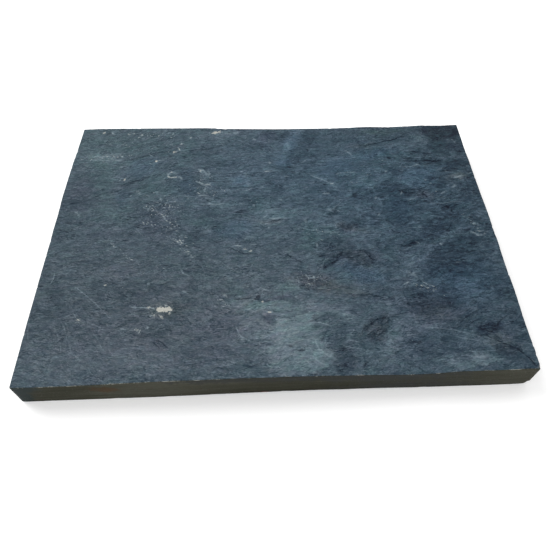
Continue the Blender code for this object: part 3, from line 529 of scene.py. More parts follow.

# Small pits, darkened with painted shade: x, y, reach along, reach across, turn, depth
stone["pits"] = [
    # back right
    (120.6, 96.8, 2.8, 1.7, -20, 0.9), (131, 106.4, 1.8, 0.9, 20, 0.3), (150, 104, 4.2, 1.0, -3, 0.4),
    (162, 101.8, 5, 1.3, -8, 0.4), (159, 91, 5.4, 1.6, -5, 0.5), (166, 89.6, 4.6, 1.5, 0, 0.5),
    (145, 90.6, 3.4, 0.8, 0, 0.2), (177, 90, 3.6, 0.8, 0, 0.2), (144, 82, 3.6, 0.8, 8, 0.2),
    (112, 82.6, 1.8, 0.8, 40, 0.2), (110, 74.4, 1.9, 1, -30, 0.3), (117, 71, 1.3, 1, 0, 0.2),
    (178, 75.4, 3, 1.1, 5, 0.5), (189, 84.6, 3.6, 0.9, 6, 0.3), (91, 85, 3, 1.6, -30, 0.2),
    (176, 122, 3, 1.4, 20, 0.2), (127, 58.4, 1.5, 0.9, 50, 0.4), (129, 47.6, 2.8, 1, -5, 0.5),
    (134.6, 46.4, 3.2, 1.2, -12, 0.5), (145.2, 43.8, 1.9, 1.6, -40, 0.6), (142.4, 48.2, 1.8, 1.3, 0, 0.4),
    (147.6, 40, 1.6, 1.4, -50, 0.5), (136, 32.6, 2.3, 0.9, -30, 0.3), (145, 34.2, 2.2, 1.1, 0, 0.4),
    (104.6, 41.7, 3.8, 1.2, -4, 0.5), (79.6, 45, 3.8, 2.6, 80, 0.25), (182, 61, 2.4, 0.9, 0, 0.3),
    # right
    (166, 26.4, 3, 1.5, 10, 0.6), (174.8, 29, 3.4, 0.9, 8, 0.4), (167.6, 22, 1.3, 1.6, 0, 0.5),
    (168.8, 18.6, 1.4, 1, 0, 0.5), (160, 25, 1.7, 0.8, -20, 0.3), (171.4, 42, 1.8, 1.1, 0, 0.4),
    (182.6, 11.6, 1.7, 0.9, 0, 0.4), (186.4, 9, 2.2, 1, -20, 0.4), (122, 7, 2.6, 0.8, 10, 0.2),
    (192, 26.6, 2.6, 0.8, 6, 0.2), (150, 12.6, 2.2, 0.8, -10, 0.2), (134, 21, 1.8, 0.8, 20, 0.2),
    (109, -2.4, 2.4, 0.8, -40, 0.3), (119.6, -19.6, 2.6, 1.1, 12, 0.2), (125.4, -16.8, 2.2, 1.2, -10, 0.3),
    # front right
    (144.6, -52.6, 2.6, 0.8, -40, 0.3), (140.6, -44.6, 1.8, 0.8, -50, 0.2), (107.6, -81, 2, 1.1, -60, 0.4),
    (111.4, -84, 1.8, 0.8, -30, 0.3), (104, -67, 1.6, 1.1, 60, 0.2), (109, -65.6, 2.2, 0.9, -20, 0.2),
    (126, -66.6, 2.4, 0.8, -10, 0.2), (86, -94, 2.8, 1.3, 10, 0.5), (76, -99, 2.8, 0.9, 45, 0.4),
    (70.6, -104.4, 2.6, 0.9, 55, 0.4), (89, -97.4, 1.8, 0.9, -50, 0.3), (80, -105, 3, 0.8, 45, 0.3),
    (75, -110.6, 2.8, 0.8, 45, 0.3), (177, -102.8, 2.2, 1, 50, 0.5), (180.6, -98.8, 1.7, 0.9, 45, 0.4),
    (184.8, -96, 2.2, 0.8, 10, 0.4), (164, -106.6, 3.8, 1.2, -5, 0.4), (172.8, -108.4, 2.6, 1, 0, 0.3),
    (186.6, -124.4, 3.6, 1.1, -35, 0.5), (194, -138, 2.6, 1.2, -60, 0.5),
    (110.6, -117.4, 2.4, 1.7, 30, 0.4), (115.6, -112.4, 1.6, 0.9, 20, 0.3), (66, -134.6, 3.8, 0.8, 55, 0.4),
    (106.6, -138.6, 3.2, 0.8, -35, 0.3), (191, -74, 2.6, 0.8, 0, 0.3),
    # arrowhead and the ground before it
    (84.6, -33.4, 2.8, 1, -50, 0.5), (80.6, -27.6, 2.2, 0.8, -55, 0.4), (73, -18.4, 2.2, 0.8, -40, 0.3),
    (67, -29, 2.4, 0.8, -20, 0.2), (51, -35.6, 5, 1.4, 38, 0.5), (58, -27.6, 2.8, 1.4, 40, 0.5),
    (43.6, -41, 2.8, 1.1, 45, 0.4), (40, -29.6, 2.8, 1.1, 10, 0.4), (27, -64, 3, 0.9, 60, 0.4),
    (23, -61, 2, 0.8, 40, 0.3),
    # middle
    (-31, 24, 3.2, 1.4, 10, 0.3), (-36, 19.6, 2.8, 0.8, 20, 0.2), (1, 12.6, 5, 0.9, 8, 0.4),
    (-32, -22.8, 5, 0.9, -25, 0.4), (14, -30.4, 5.6, 0.8, -38, 0.5), (20.4, -35, 2.6, 0.9, -40, 0.3),
    (0, -7.6, 2.6, 0.8, 30, 0.2), (18, -3.6, 3.2, 0.8, -5, 0.2), (57.6, 24.6, 2.4, 1.1, 50, 0.3),
    (52, 17, 5, 0.8, 3, 0.2),
    # front middle
    (-15.4, -71.6, 2.6, 1.8, 60, 0.5), (-24, -73.4, 4.2, 0.8, 2, 0.3), (-43, -66.4, 1.8, 0.8, -30, 0.2),
    (-48, -72, 1.5, 1.2, 0, 0.2), (-7.6, -96.6, 2.8, 1.1, -60, 0.3), (-9, -106.4, 3.6, 0.8, 20, 0.2),
    (26, -96.4, 5, 0.8, 30, 0.2), (17.4, -122, 3.2, 1.1, 15, 0.5), (9.6, -119.4, 2.3, 1.2, 0, 0.3),
    (8.6, -127, 2.2, 1.3, 0, 0.2), (51, -120.6, 2.6, 1.1, -20, 0.4), (27, -143, 3.2, 1, 10, 0.4),
    (33, -139, 3.6, 0.8, 35, 0.2), (-98, -115, 3, 0.8, -40, 0.2), (-91, -118, 3, 0.8, -40, 0.2),
]

# The front face, seen from the front: x, z, reach along, reach up, turn, amount
stone["sawnClouds"] = {
    "Tone": [
        (-95, 14, 44, 40, 0, 10), (-70, 25, 40, 7, 0, 3), (0, 9, 62, 14, 0, -4), (12, 3, 72, 4, 0, -7),
        (66, 12, 50, 12, 0, -4), (97, 5, 38, 7, 0, -6), (170, 14, 40, 40, 0, 5), (-150, 8, 24, 7, 0, 5),
        (-192, 14, 10, 20, 0, -4), (66, 9, 3, 7, 0, 8), (-42, 4, 4, 3, 0, 9), (44, 10, 3, 6, 0, 5),
        # (0, 0.6, 210, 1.8, 0, -9) is a painted contact shadow along the bottom edge
        (-174, 20, 14, 6, 0, -3), (-34, 25, 14, 5, 0, 6), (0, 0.6, 210, 1.8, 0, -9),
        (-156, 14, 20, 20, 0, -4), (145, 14, 34, 20, 0, -4),
    ],
    "Teal": [
        (-197, 14, 9, 20, 0, 1.0), (-187, 24, 9, 6, 0, 0.7), (86, 1, 15, 2, 0, 0.8),
        (-118, 1, 10, 2, 0, 0.5),
    ],
    "Rust": [(-135, 19, 12, 5, 0, 0.6), (-126, 17, 7, 5, 0, 0.5)],
    "Red": [(-12, 1.9, 2.9, 1.8, 0, 1.8)],
    "Grey": [
        (45, 26, 100, 7, 0, 0.8), (100, 14, 60, 12, 0, 0.5), (-60, 26, 30, 4, 0, 0.5),
        (90, 4, 100, 5, 0, 0.4),
    ],
}

# Pale wear along the front arris: x, half length, amount
stone["frontWear"] = [
    (-178, 3, 0.8), (-168, 6, 0.6), (-156, 5, 0.8), (-147, 2, 0.5), (-131, 5, 0.4), (-120, 7, 0.6),
    (-106, 5, 0.5), (-84, 8, 0.9), (-62, 6, 0.5), (-48, 4, 0.5), (-6, 3, 0.4), (28, 4, 0.3), (62, 5, 0.5),
    (98, 4, 0.4), (120, 1.5, 0.8), (179, 5, 1.0), (160, 3, 0.4),
]

# Colours as a screen shows them, 0 to 255, and the surface settings of the cleft face
stone["cleftLook"] = {
    "middleTone": 88, "darkest": 40, "palest": 152,
    "lean": (-12.0, 2.6, 13.0),  # what red, green and blue add to the lightness
    "cream": (194, 194, 186), "paleGrey": (140, 155, 163), "paleBlue": (160, 178, 188),
    # crack is a painted shade colour, laid into cracks, under ledges and in pits
    "crack": (34, 44, 54), "worn": (150, 158, 160), "fresh": (104, 112, 112),
    "roughness": 0.66, "specular": 0.15, "bump": 1.0,
}

# Layers of the cleft face: kind, size across the grain, stretch along it, turn, and the kind's own inputs
stone["cleftLayers"] = {
    "sheets": ("sheets", 8.0, 3.4, 0.0, {"Steps": 7.5}),
    "fineSheets": ("sheets", 3.4, 4.4, 0.0, {"Steps": 6.5}),
    "coarse": ("grain", 8.0, 1.8),
    "middle": ("grain", 3.0, 3.0),
    "fine": ("grain", 1.3, 3.4),
    "finest": ("grain", 0.7, 2.3),
    "threads": ("grain", 0.95, 9.0),
    "lively": ("grain", 10.0, 1.5),
    "bigPatches": ("patches", 14.0, 1.6, 12.0, {"Share": 0.5}),
    "patches": ("patches", 5.5, 1.9, 8.0, {"Share": 0.48}),
    "chips": ("patches", 2.6, 1.8, -3.0, {"Share": 0.49}),
    "dashes": ("flecks", 0.8, 4.5, 0.0, {"Density": 0.85}),
    "crossDashes": ("flecks", 0.7, 3.0, 8.0, {"Density": 0.75}),
    "darkDashes": ("flecks", 0.9, 3.5, -2.0, {"Density": 0.85}),
    "rightStrokes": ("flecks", 0.8, 4.0, 40.0, {"Density": 0.7}),
    "leftStrokes": ("flecks", 0.7, 7.0, -48.0, {"Density": 0.8}),
    "paleThreads": ("flecks", 1.0, 9.0, 2.0, {"Density": 0.7}),
    "darkThreads": ("flecks", 1.1, 9.0, -1.0, {"Density": 0.75}),
    "bigScales": ("scales", 4.4, 2.0),
    "scales": ("scales", 2.0, 3.0),
    "smallScales": ("scales", 0.9, 2.2),
    "blueScales": ("scales", 2.6, 1.8),
    "tealStreaks": ("grain", 5.0, 2.6, 10.0),
    "tealPatches": ("patches", 6.0, 2.4, 12.0, {"Share": 0.51}),
    "tealScales": ("scales", 1.4, 2.0),
    "fray": ("grain", 1.1, 1.3),
    "fleckFray": ("grain", 0.8, 1.6, -30.0),
}

# What the layers add to the lightness, in screen steps, and the field that each one swells and fades with
stone["cleftTones"] = [
    ("coarse", "Streak", 2.0), ("middle", "Streak", 3.8), ("fine", "Streak", 5.0, "busy"),
    ("finest", "Streak", 1.0, "unsilky"),
    ("threads", "Streak", 7.0, "silk"), ("threads", "Wisp", 4.0, "silk"),
    ("paleThreads", "Mask", 13.0, "silk"), ("darkThreads", "Mask", -10.0, "silk"),
    ("bigScales", "Tone", 3.0), ("scales", "Tone", 4.5), ("smallScales", "Tone", 6.0, "busy"),
    ("middle", "Wisp", -3.0, "lively"), ("fine", "Wisp", 5.0, "lively"),
    # the lips and feet of the sheets are painted highlight and painted shade along small steps
    ("sheets", "Lip", 8.0, "lively"), ("sheets", "Foot", -11.0, "lively"),
    ("fineSheets", "Lip", 7.0, "lively"), ("fineSheets", "Foot", -8.5, "lively"),
    # the rims of the patches are painted highlight along the raised side of their borders
    ("bigPatches", "Patch", 2.2), ("bigPatches", "Rim", 3.5),
    ("patches", "Patch", 4.3, "rough"), ("patches", "Rim", 5.0), ("chips", "Patch", 4.0, "rough"),
    ("dashes", "Mask", 10.0), ("crossDashes", "Mask", 8.0), ("darkDashes", "Mask", -9.0),
    ("rightStrokes", "Mask", 7.0, "steepRight"), ("leftStrokes", "Mask", 9.0, "steepLeft"),
]
# ledge is the strength of the painted shade and the painted highlight along the ledges
stone["placedTones"] = {"patch": 0.42, "chip": 0.68, "ledge": 5.0}

# What the layers add to the fine relief, in millimetres: same layout; and what placed marks add to it
stone["cleftHeights"] = [
    ("sheets", "Height", 2.0, "rough"), ("fineSheets", "Height", 0.6, "rough"),
    ("finest", "Streak", 0.012), ("fine", "Streak", 0.02),
    ("middle", "Streak", 0.05), ("middle", "Wisp", -0.03),
    ("chips", "Patch", 0.05, "rough"), ("patches", "Patch", 0.14, "rough"), ("bigPatches", "Patch", 0.12),
]
stone["placedHeights"] = {"chip": 0.014, "crack": -0.3, "cream": 0.05}

# Teal against violet and blue against brown: what adds to each leaning, and its tints: reach, most, colour
stone["cleftLeans"] = {
    "teal": (
        (("tealStreaks", "Streak", 1.5), ("tealPatches", "Patch", 1.0), ("tealScales", "Tone", 1.2)),
        ((6.0, 0.8, (0.84, 1.12, 0.97)), (-6.0, 0.8, (1.12, 0.93, 1.03))),
    ),
    "blue": (
        (("blueScales", "Tone", 1.4),),
        ((9.0, 0.85, (0.78, 1.0, 1.16)), (-9.0, 0.9, (1.28, 1.02, 0.78))),
    ),
}

# Scattered pale flecks: size, stretch, turn; and how much of each colour they show
stone["scattered"] = {"layers": ((0.95, 2.6, -12.0), (1.6, 1.8, -34.0)), "Mask": 0.55, "Heart": 0.45}

# The sawn sides: layers as size, stretch and amount; stains as colour and most
stone["sawnLook"] = {
    "middleTone": 57, "darkest": 34, "palest": 82,
    "lean": (0.5, 1.0, -6.5),
    "layers": ((0.4, 70.0, 2.6), (0.8, 45.0, 3.2), (1.8, 26.0, 3.2), (4.5, 12.0, 2.6), (0.9, 1.6, 2.6)),
    "stains": {
        "Grey": ((55, 57, 56), 0.9),
        "Rust": ((72, 58, 44), 0.8),
        "Teal": ((42, 51, 52), 0.85),
        "Red": ((88, 22, 28), 0.9),
    },
    "specks": {"Width": 1.0, "Stretch": 1.6, "Turn": 0.3, "Density": 0.42}, "speckShare": 0.45,
    "crumb": (150, 152, 146), "speck": (100, 102, 96), "fresh": (62, 70, 72),
    "roughness": 0.72, "specular": 0.15, "bump": 0.8,
}

# How borders, lines and faces wander: amount, size, place in the noise, and how far it is drawn out
stone["wander"] = {
    "upper fray": ((0.9, 6.0, 2.0), (0.6, 2.6, 3.0)),
    "lower fray": ((0.9, 6.0, 4.0),),
    "grain": ((2.2, 30.0, 31.0), (0.8, 9.0, 33.0)),
    "clouds along": ((5.0, 18.0, 41.0), (3.4, 7.0, 43.0)),
    "clouds across": ((4.0, 18.0, 47.0), (2.6, 7.0, 49.0)),
    "cloud rims": ((0.3, 5.0, 44.0), (0.28, 2.6, 50.0)),
    "lines along": ((0.5, 3.2, 51.0),),
    "lines across": ((0.5, 3.2, 53.0),),
    "sawn sides": ((0.08, 9.0, 61.0, 5.0), (0.025, 1.4, 63.0, 6.0)),
    "broken corners": ((0.16, 1.6, 81.0), (0.3, 4.0, 83.0)),
}


def rampUp(value, low, high):
    t = np.clip((value - low) / (high - low), 0.0, 1.0)
    return t * t * (3.0 - 2.0 * t)


def noiseAt(x, y, size, level=0.0, stretch=1.0):
    return np.array([noise.noise((a, b, level)) for a, b in zip(x / (size * stretch), y / size)])


def wander(x, y, name):
    return sum(amount * noiseAt(x, y, *rest) for amount, *rest in stone["wander"][name])


def ovalDistance(x, y, at, reach, turn):
    dx, dy = x - at[0], y - at[1]
    cos, sin = math.cos(math.radians(turn)), math.sin(math.radians(turn))
    return np.hypot((dx * cos + dy * sin) / reach[0], (dy * cos - dx * sin) / reach[1])


def swell(x, y, at, reach, height):
    return height * np.exp(-((x - at[0]) / reach[0]) ** 2 - ((y - at[1]) / reach[1]) ** 2)


def flake(x, y, fray, at, reach, turn, height):
    ragged = stone["flakeRagged"] * noiseAt(x, y, stone["flakeRagSize"], at[0])
    away = ovalDistance(x, y, at, reach, turn) + ragged + fray / min(reach)
    halfEdge = 0.5 * stone["flakeEdge"] / min(reach)
    return height * (1.0 - rampUp(away, 1.0 - halfEdge, 1.0 + halfEdge))


def rolling(x, y, level):
    roll = noiseAt(x, y, stone["rollSize"], level)
    lump = noiseAt(x, y, stone["lumpSize"], level, stone["lumpStretch"])
    return stone["rollHeight"] * roll + stone["lumpHeight"] * lump


def folds(x, y):
    turn = math.radians(stone["foldTurn"])
    across = x * math.sin(turn) - y * math.cos(turn)
    turns = across / stone["foldSpacing"] + 0.5 * noiseAt(x, y, stone["rollSize"], 9.0)
    return stone["foldHeight"] * np.sin(2.0 * math.pi * turns) * rampUp(x, *stone["foldFade"])


def clouds(x, y, listed, fray):
    # ovals with ragged rims, added up; the broad ones fade more softly
    total = np.zeros_like(x)
    for cx, cy, along, across, turn, amount in listed:
        narrow = min(along, across)
        away = ovalDistance(x, y, (cx, cy), (along, across), turn)
        away = np.maximum(away + fray * min(1.0, 9.0 / narrow), 0.0)
        total += amount * np.exp(-away ** (2.4 if narrow > 25 else 3.2))
    return total


def nearestChip(x, y, listed):
    # how far inside the nearest chip, in millimetres, and that chip's amount
    inside = np.full(len(x), stone["farOutside"])
    amounts = np.zeros(len(x))
    for cx, cy, along, across, turn, amount in listed:
        here = (1.0 - ovalDistance(x, y, (cx, cy), (along, across), turn)) * min(along, across)
        nearer = here > inside
        inside[nearer], amounts[nearer] = here[nearer], amount
    return inside, amounts


def pinned(x, y, onTop, listed, least):
    # small spots, each pinned to the nearest point of the mesh so that it shows
    at = np.flatnonzero(onTop)
    topX, topY = x[at], y[at]
    inside = np.full(len(x), -3.0)
    amounts = np.zeros(len(x))
    for cx, cy, along, across, turn, amount in listed:
        nearest = np.argmin((topX - cx) ** 2 + (topY - cy) ** 2)
        reach = (along, max(across, least))
        away = ovalDistance(topX, topY, (topX[nearest], topY[nearest]), reach, turn)
        here = (1.0 - away) * min(reach)
        better = here > inside[at]
        inside[at[better]] = here[better]
        amounts[at[better]] = amount
    return inside, amounts


def trailDensity(x, y, trails):
    # how thickly flecks lie along their trails, 0 to 1
    density = np.zeros_like(x)
    for points, amount, stray in trails:
        for (ax, ay), (bx, by) in zip(points[:-1], points[1:]):
            length = math.hypot(bx - ax, by - ay)
            dx, dy = (bx - ax) / length, (by - ay) / length
            along = np.clip((x - ax) * dx + (y - ay) * dy, 0.0, length)
            away = np.hypot(x - ax - along * dx, y - ay - along * dy)
            density = np.maximum(density, amount * np.exp(-(away / stray) ** 2))
    return density


def lineField(x, y, lines):
    # the distance to the nearest line in half widths, signed by its side, its strength there and its number
    side = np.full(len(x), 9.0)
    strength = np.zeros(len(x))
    which = np.full(len(x), -1)
    for number, line in enumerate(lines):
        points, halfWidth = np.array(line[0], float), line[1]
        lengths = np.hypot(*np.diff(points, axis=0).T)
        travelled = np.concatenate([[0.0], np.cumsum(lengths)])
        fade = min(3.0, 0.35 * travelled[-1])
        for i, length in enumerate(lengths):
            ax, ay = points[i]
            dx, dy = (points[i + 1] - points[i]) / length
            along = (x - ax) * dx + (y - ay) * dy
            across = (y - ay) * dx - (x - ax) * dy
            beyond = np.maximum(np.maximum(-along, along - length), 0.0)
            away = np.hypot(across, beyond) / halfWidth
            place = travelled[i] + np.clip(along, 0.0, length)
            here = rampUp(place, -0.6 * fade, fade) * rampUp(travelled[-1] - place, -0.6 * fade, fade)
            here = here * (1.0 - rampUp(beyond, 0.0, 1.6 * halfWidth))
            nearer = away < np.abs(side)
            side[nearer] = (np.where(across < 0.0, -1.0, 1.0) * away)[nearer]
            strength[nearer] = here[nearer]
            which[nearer] = number
    return side, strength, which


def upperFace(x, y, rough, grain, cracks):
    z = stone["thickness"] + rolling(x, y, 0.0) + folds(x, y)
    fray = wander(x, y, "upper fray")
    for shape in stone["upperSwells"].values():
        z += swell(x, y, *shape)
    for shape in stone["upperFlakes"].values():
        z += flake(x, y, fray, *shape)
    # thin sheets that end in little steps, drawn out along the grain
    for height, *sizes in stone["thinSheets"]:
        climb = stone["sheetSteps"] * noiseAt(*grain, *sizes) + 5.0
        stepped = np.floor(climb) + rampUp(climb % 1.0, stone["sheetEdge"], 1.0)
        z += height * rough * (stepped - climb)
    z += stone["grit"][0] * rough * noiseAt(*grain, *stone["grit"][1:])
    away = np.abs(cracks["mm"])
    groove = cracks["strength"] * np.exp(-away / stone["grooveReach"])
    z -= cracks["depth"] * groove
    ledge = 0.5 * cracks["step"] * cracks["strength"] * np.sign(cracks["mm"])
    z += ledge * np.exp(-away / stone["ledgeReach"])
    for px, py, along, across, turn, depth in stone["pits"]:
        reach = (along, max(across, stone["leastPit"]))
        z -= depth * np.exp(-ovalDistance(x, y, (px, py), reach, turn) ** 2)
    return z


def lowerFace(x, y):
    fray = wander(x, y, "lower fray")
    hollow = np.zeros_like(x)
    for shape in stone["lowerHollows"].values():
        hollow += swell(x, y, *shape)
    for shape in stone["lowerFlakes"].values():
        hollow += flake(x, y, fray, *shape)
    roughness = rolling(x, y, 5.0) * rampUp(hollow, 0.0, 2.0 * stone["padLevel"])
    return np.maximum(hollow - stone["padLevel"] + roughness, 0.0)


def outline(u, v):
    left, right = (1.0 - u) / 2.0, (1.0 + u) / 2.0
    back = np.outer(left, stone["backLeft"]) + np.outer(right, stone["backRight"])
    front = np.outer(left, stone["frontLeft"]) + np.outer(right, stone["frontRight"])
    place = front * ((1.0 - v) / 2.0)[:, None] + back * ((1.0 + v) / 2.0)[:, None]
    bow = 1.0 - v * v
    runIn = stone["leftRunIn"] * rampUp(v, stone["runInFrom"], 1.0)
    x = place[:, 0] + left * (runIn - stone["leftBow"] * bow) + right * stone["rightBow"] * bow
    return x, place[:, 1]


def grainPlace(x, y):
    # along and across the lineation, which climbs to the right at the back left
    lift = 0.3 * np.clip(x + 95.0, -60.0, 0.0) * rampUp(y, 20.0, 70.0)
    lift -= 0.12 * np.minimum(x + 30.0, 0.0) * rampUp(-y, 0.0, 70.0)
    lift += 0.03 * np.maximum(x + 40.0, 0.0) * rampUp(-y, -30.0, 80.0)
    return x, y - lift + wander(x, y, "grain")


def stoneBlock():
    # a closed block from -1 to 1 in cells; those of the upper face are halved twice each way
    bm = bmesh.new()
    bmesh.ops.create_cube(bm, size=2.0)
    for axis, cells in enumerate(stone["cells"]):
        running = [e for e in bm.edges if abs(e.verts[0].co[axis] - e.verts[1].co[axis]) > 1.0]
        bmesh.ops.subdivide_edges(bm, edges=running, cuts=cells - 1, use_grid_fill=True)
    for above in stone["halvedAbove"]:
        flat = [e for e in bm.edges if abs(e.verts[0].co.z - e.verts[1].co.z) < 1e-5]
        level = [e for e in flat if e.verts[0].co.z > above]
        bmesh.ops.subdivide_edges(bm, edges=level, cuts=1, use_grid_fill=True)
    return bm


def layBakeMap(bm):
    # the top keeps most of the map; the sides and the underside are packed round it
    layer = bm.loops.layers.uv.new("OFBake")
    look = stone["bakeMap"]
    gap, (underWide, underDeep) = look["gap"], look["under"]
    length, depth, height = (size * look["scale"] for size in look["sizes"])
    for face in bm.faces:
        normal = face.normal
        second = normal.y > 0.0 if abs(normal.y) > 0.5 else normal.x > 0.0
        for loop in face.loops:
            u, v, w = (loop.vert.co + Vector((1.0, 1.0, 1.0))) / 2.0
            rise = second * (height + gap) + w * height
            if normal.z > 0.5:
                place = (gap + u * length, gap + v * depth)
            elif normal.z < -0.5:
                place = (gap + u * underWide, 3.4 * gap + depth + 2.0 * height + v * underDeep)
            elif abs(normal.y) > 0.5:
                place = (gap + u * length, 2.0 * gap + depth + rise)
            else:
                place = (2.0 * gap + length + rise, gap + v * depth)
            loop[layer].uv = place


def drawnToRim(share, half):
    # how far each point is from the side; the cells draw together at the rim, where the arris is rounded
    fromSide = np.interp((1.0 - np.abs(share)) * half, stone["evenCells"], stone["drawnCells"])
    return fromSide, np.sign(share) * (1.0 - np.minimum(fromSide / half, 1.0))


def crackMarks(lineX, lineY):
    side, strength, which = lineField(lineX, lineY, stone["darkLines"])
    widths, depths, steps = (np.array([line[i] for line in stone["darkLines"]])[which] for i in (1, 2, 3))
    strength = strength * np.clip(depths / stone["fullCrack"], 0.3, 1.0)
    return {"side": side, "strength": strength, "mm": side * widths, "depth": depths, "step": steps}


def faceMarks(x, y, onTop, upperHalf):
    # the marks that the materials read, one value at each point, and the cracks for the relief
    print("stone: marks on the upper face")
    fray = wander(x, y, "cloud rims")
    wobbleX, wobbleY = x + wander(x, y, "clouds along"), y + wander(x, y, "clouds across")
    lineX, lineY = x + wander(x, y, "lines along"), y + wander(x, y, "lines across")
    marks = {}
    for name in ("tone", "patch", "teal", "blue", "fleck", "rough"):
        marks[name] = clouds(wobbleX, wobbleY, stone[name + "Clouds"], fray)
    for name, shown in (("tone", onTop), ("patch", onTop), ("teal", upperHalf), ("blue", upperHalf)):
        marks[name] = np.where(shown, marks[name], 0.0)
    marks["rough"] = np.clip(stone["middleRough"] + marks["rough"], 0.15, 1.6)
    speckle = np.maximum(marks.pop("fleck"), trailDensity(x, y, stone["fleckTrails"]))
    marks["speckle"] = np.where(onTop, speckle, 0.3)
    inside, marks["chipAmount"] = nearestChip(wobbleX, wobbleY, stone["patchClouds"])
    marks["chipInside"] = np.where(onTop, inside, stone["farOutside"])
    marks["fleckInside"], pale = pinned(x, y, onTop, stone["flecks"], 0.95)
    marks["fleckPale"] = pale ** 1.6
    marks["pitInside"], marks["pitDepth"] = pinned(x, y, onTop, stone["pits"], 0.6)
    marks["paleSide"], strength, which = lineField(lineX, lineY, stone["paleLines"])
    pale = np.array([line[2] for line in stone["paleLines"]])[which]
    marks["paleStrength"] = strength * pale ** 1.5 * onTop
    cracks = crackMarks(lineX, lineY)
    marks["crackSide"], marks["crackStrength"] = cracks["side"], cracks["strength"] * onTop
    marks["crackMm"] = cracks["mm"] * np.sign(0.01 + cracks["step"])
    return marks, cracks, fray


def roundArrises(x, y, z, sides, fromSides, low, high):
    # rounded arrises, wider where a chip came off, and how much of one each point is
    along, level = x + 1.7 * y, 0.0 * y
    least, most = stone["arrisRadius"]
    radius = least + (most - least) * (0.5 + 0.5 * noiseAt(along, level, *stone["arrisWander"]))
    for depth, size, at, chipFrom, chipTo in stone["arrisChips"]:
        radius = radius + depth * rampUp(noiseAt(along, level, size, at), chipFrom, chipTo)
    depths = (*fromSides, high - z, z - low)
    inX, inY, inTop, inBottom = (np.clip(1.0 - away / radius, 0.0, 1.0) for away in depths)
    inZ = np.maximum(inTop, inBottom)
    reach = np.sqrt(inX ** 2 + inY ** 2 + inZ ** 2)
    square = np.maximum(np.maximum(inX, inY), inZ)
    shrink = np.where(reach > 0.0, square / np.maximum(reach, 1e-6) - 1.0, 0.0) * radius
    x = x + np.sign(sides[0]) * shrink * inX
    y = y + np.sign(sides[1]) * shrink * inY
    z = z + np.where(inTop > inBottom, 1.0, -1.0) * shrink * inZ
    return x, y, z, np.maximum(inX, inY) * inZ, along


def breakCorners(x, y, z, share, low, high):
    # knocked-off corners: what stands outside the break is pressed back onto it
    broken = np.zeros(len(x))
    for sides, legs in stone["cornerBreaks"].values():
        cx, cy = outline(np.array([sides[0]], float), np.array([sides[1]], float))
        upper = sides[2] > 0
        nearest = np.argmin((x - cx) ** 2 + (y - cy) ** 2 + (share - upper) ** 2)
        corner = Vector((cx[0], cy[0], (high if upper else low)[nearest]))
        ends = [corner - Vector([sides[i] * legs[i] * (i == axis) for i in range(3)]) for axis in range(3)]
        outward = (ends[1] - ends[0]).cross(ends[2] - ends[0]).normalized()
        if outward.dot(corner - ends[0]) < 0.0:
            outward.negate()
        past = (x - ends[0].x) * outward.x + (y - ends[0].y) * outward.y + (z - ends[0].z) * outward.z
        past = past + wander(x, y + z, "broken corners")
        push = np.maximum(past, 0.0)
        x, y, z = x - push * outward.x, y - push * outward.y, z - push * outward.z
        broken = np.maximum(broken, rampUp(past, 0.0, 0.3))
    return x, y, z, broken


def lateMarks(x, y, z, v, along, fray):
    # marks that go by where the points end up; the walls are marked along their own length,
    # the front by its own places, and the others by taking turns of them
    front, back = v < -0.9999, v > 0.9999
    alongWall = np.where(front, x, np.where(back, 30.0 - 0.9 * x, np.sign(x) * (54.0 - y)))
    frontWear = sum(amount * np.exp(-((x - at) / half) ** 2) for at, half, amount in stone["frontWear"])
    otherWear = stone["otherWear"] * rampUp(noiseAt(along, 0.0 * y, 9.0, 91.0), 0.0, 0.5)
    marks = {"wear": np.where(front, frontWear, otherWear)}
    for name in ("silk", "steepLeft", "steepRight"):
        marks[name] = clouds(x, y, stone[name + "Clouds"], fray)
    for name, listed in stone["sawnClouds"].items():
        marks["sawn" + name] = clouds(alongWall, z, listed, fray)
    return marks


def addMark(mesh, name, values):
    mesh.attributes.new(name, "FLOAT", "POINT").data.foreach_set("value", np.asarray(values, np.float32))


def blankStone():
    bm = stoneBlock()
    bm.normal_update()
    for face in bm.faces:
        face.material_index = 0 if abs(face.normal.z) > 0.5 else 1
        face.smooth = True
    layBakeMap(bm)
    bmesh.ops.triangulate(bm, faces=[f for f in bm.faces if len(f.verts) > 4])
    mesh = bpy.data.meshes.new("phyllite_stone")
    bm.to_mesh(mesh)
    bm.free()
    return mesh


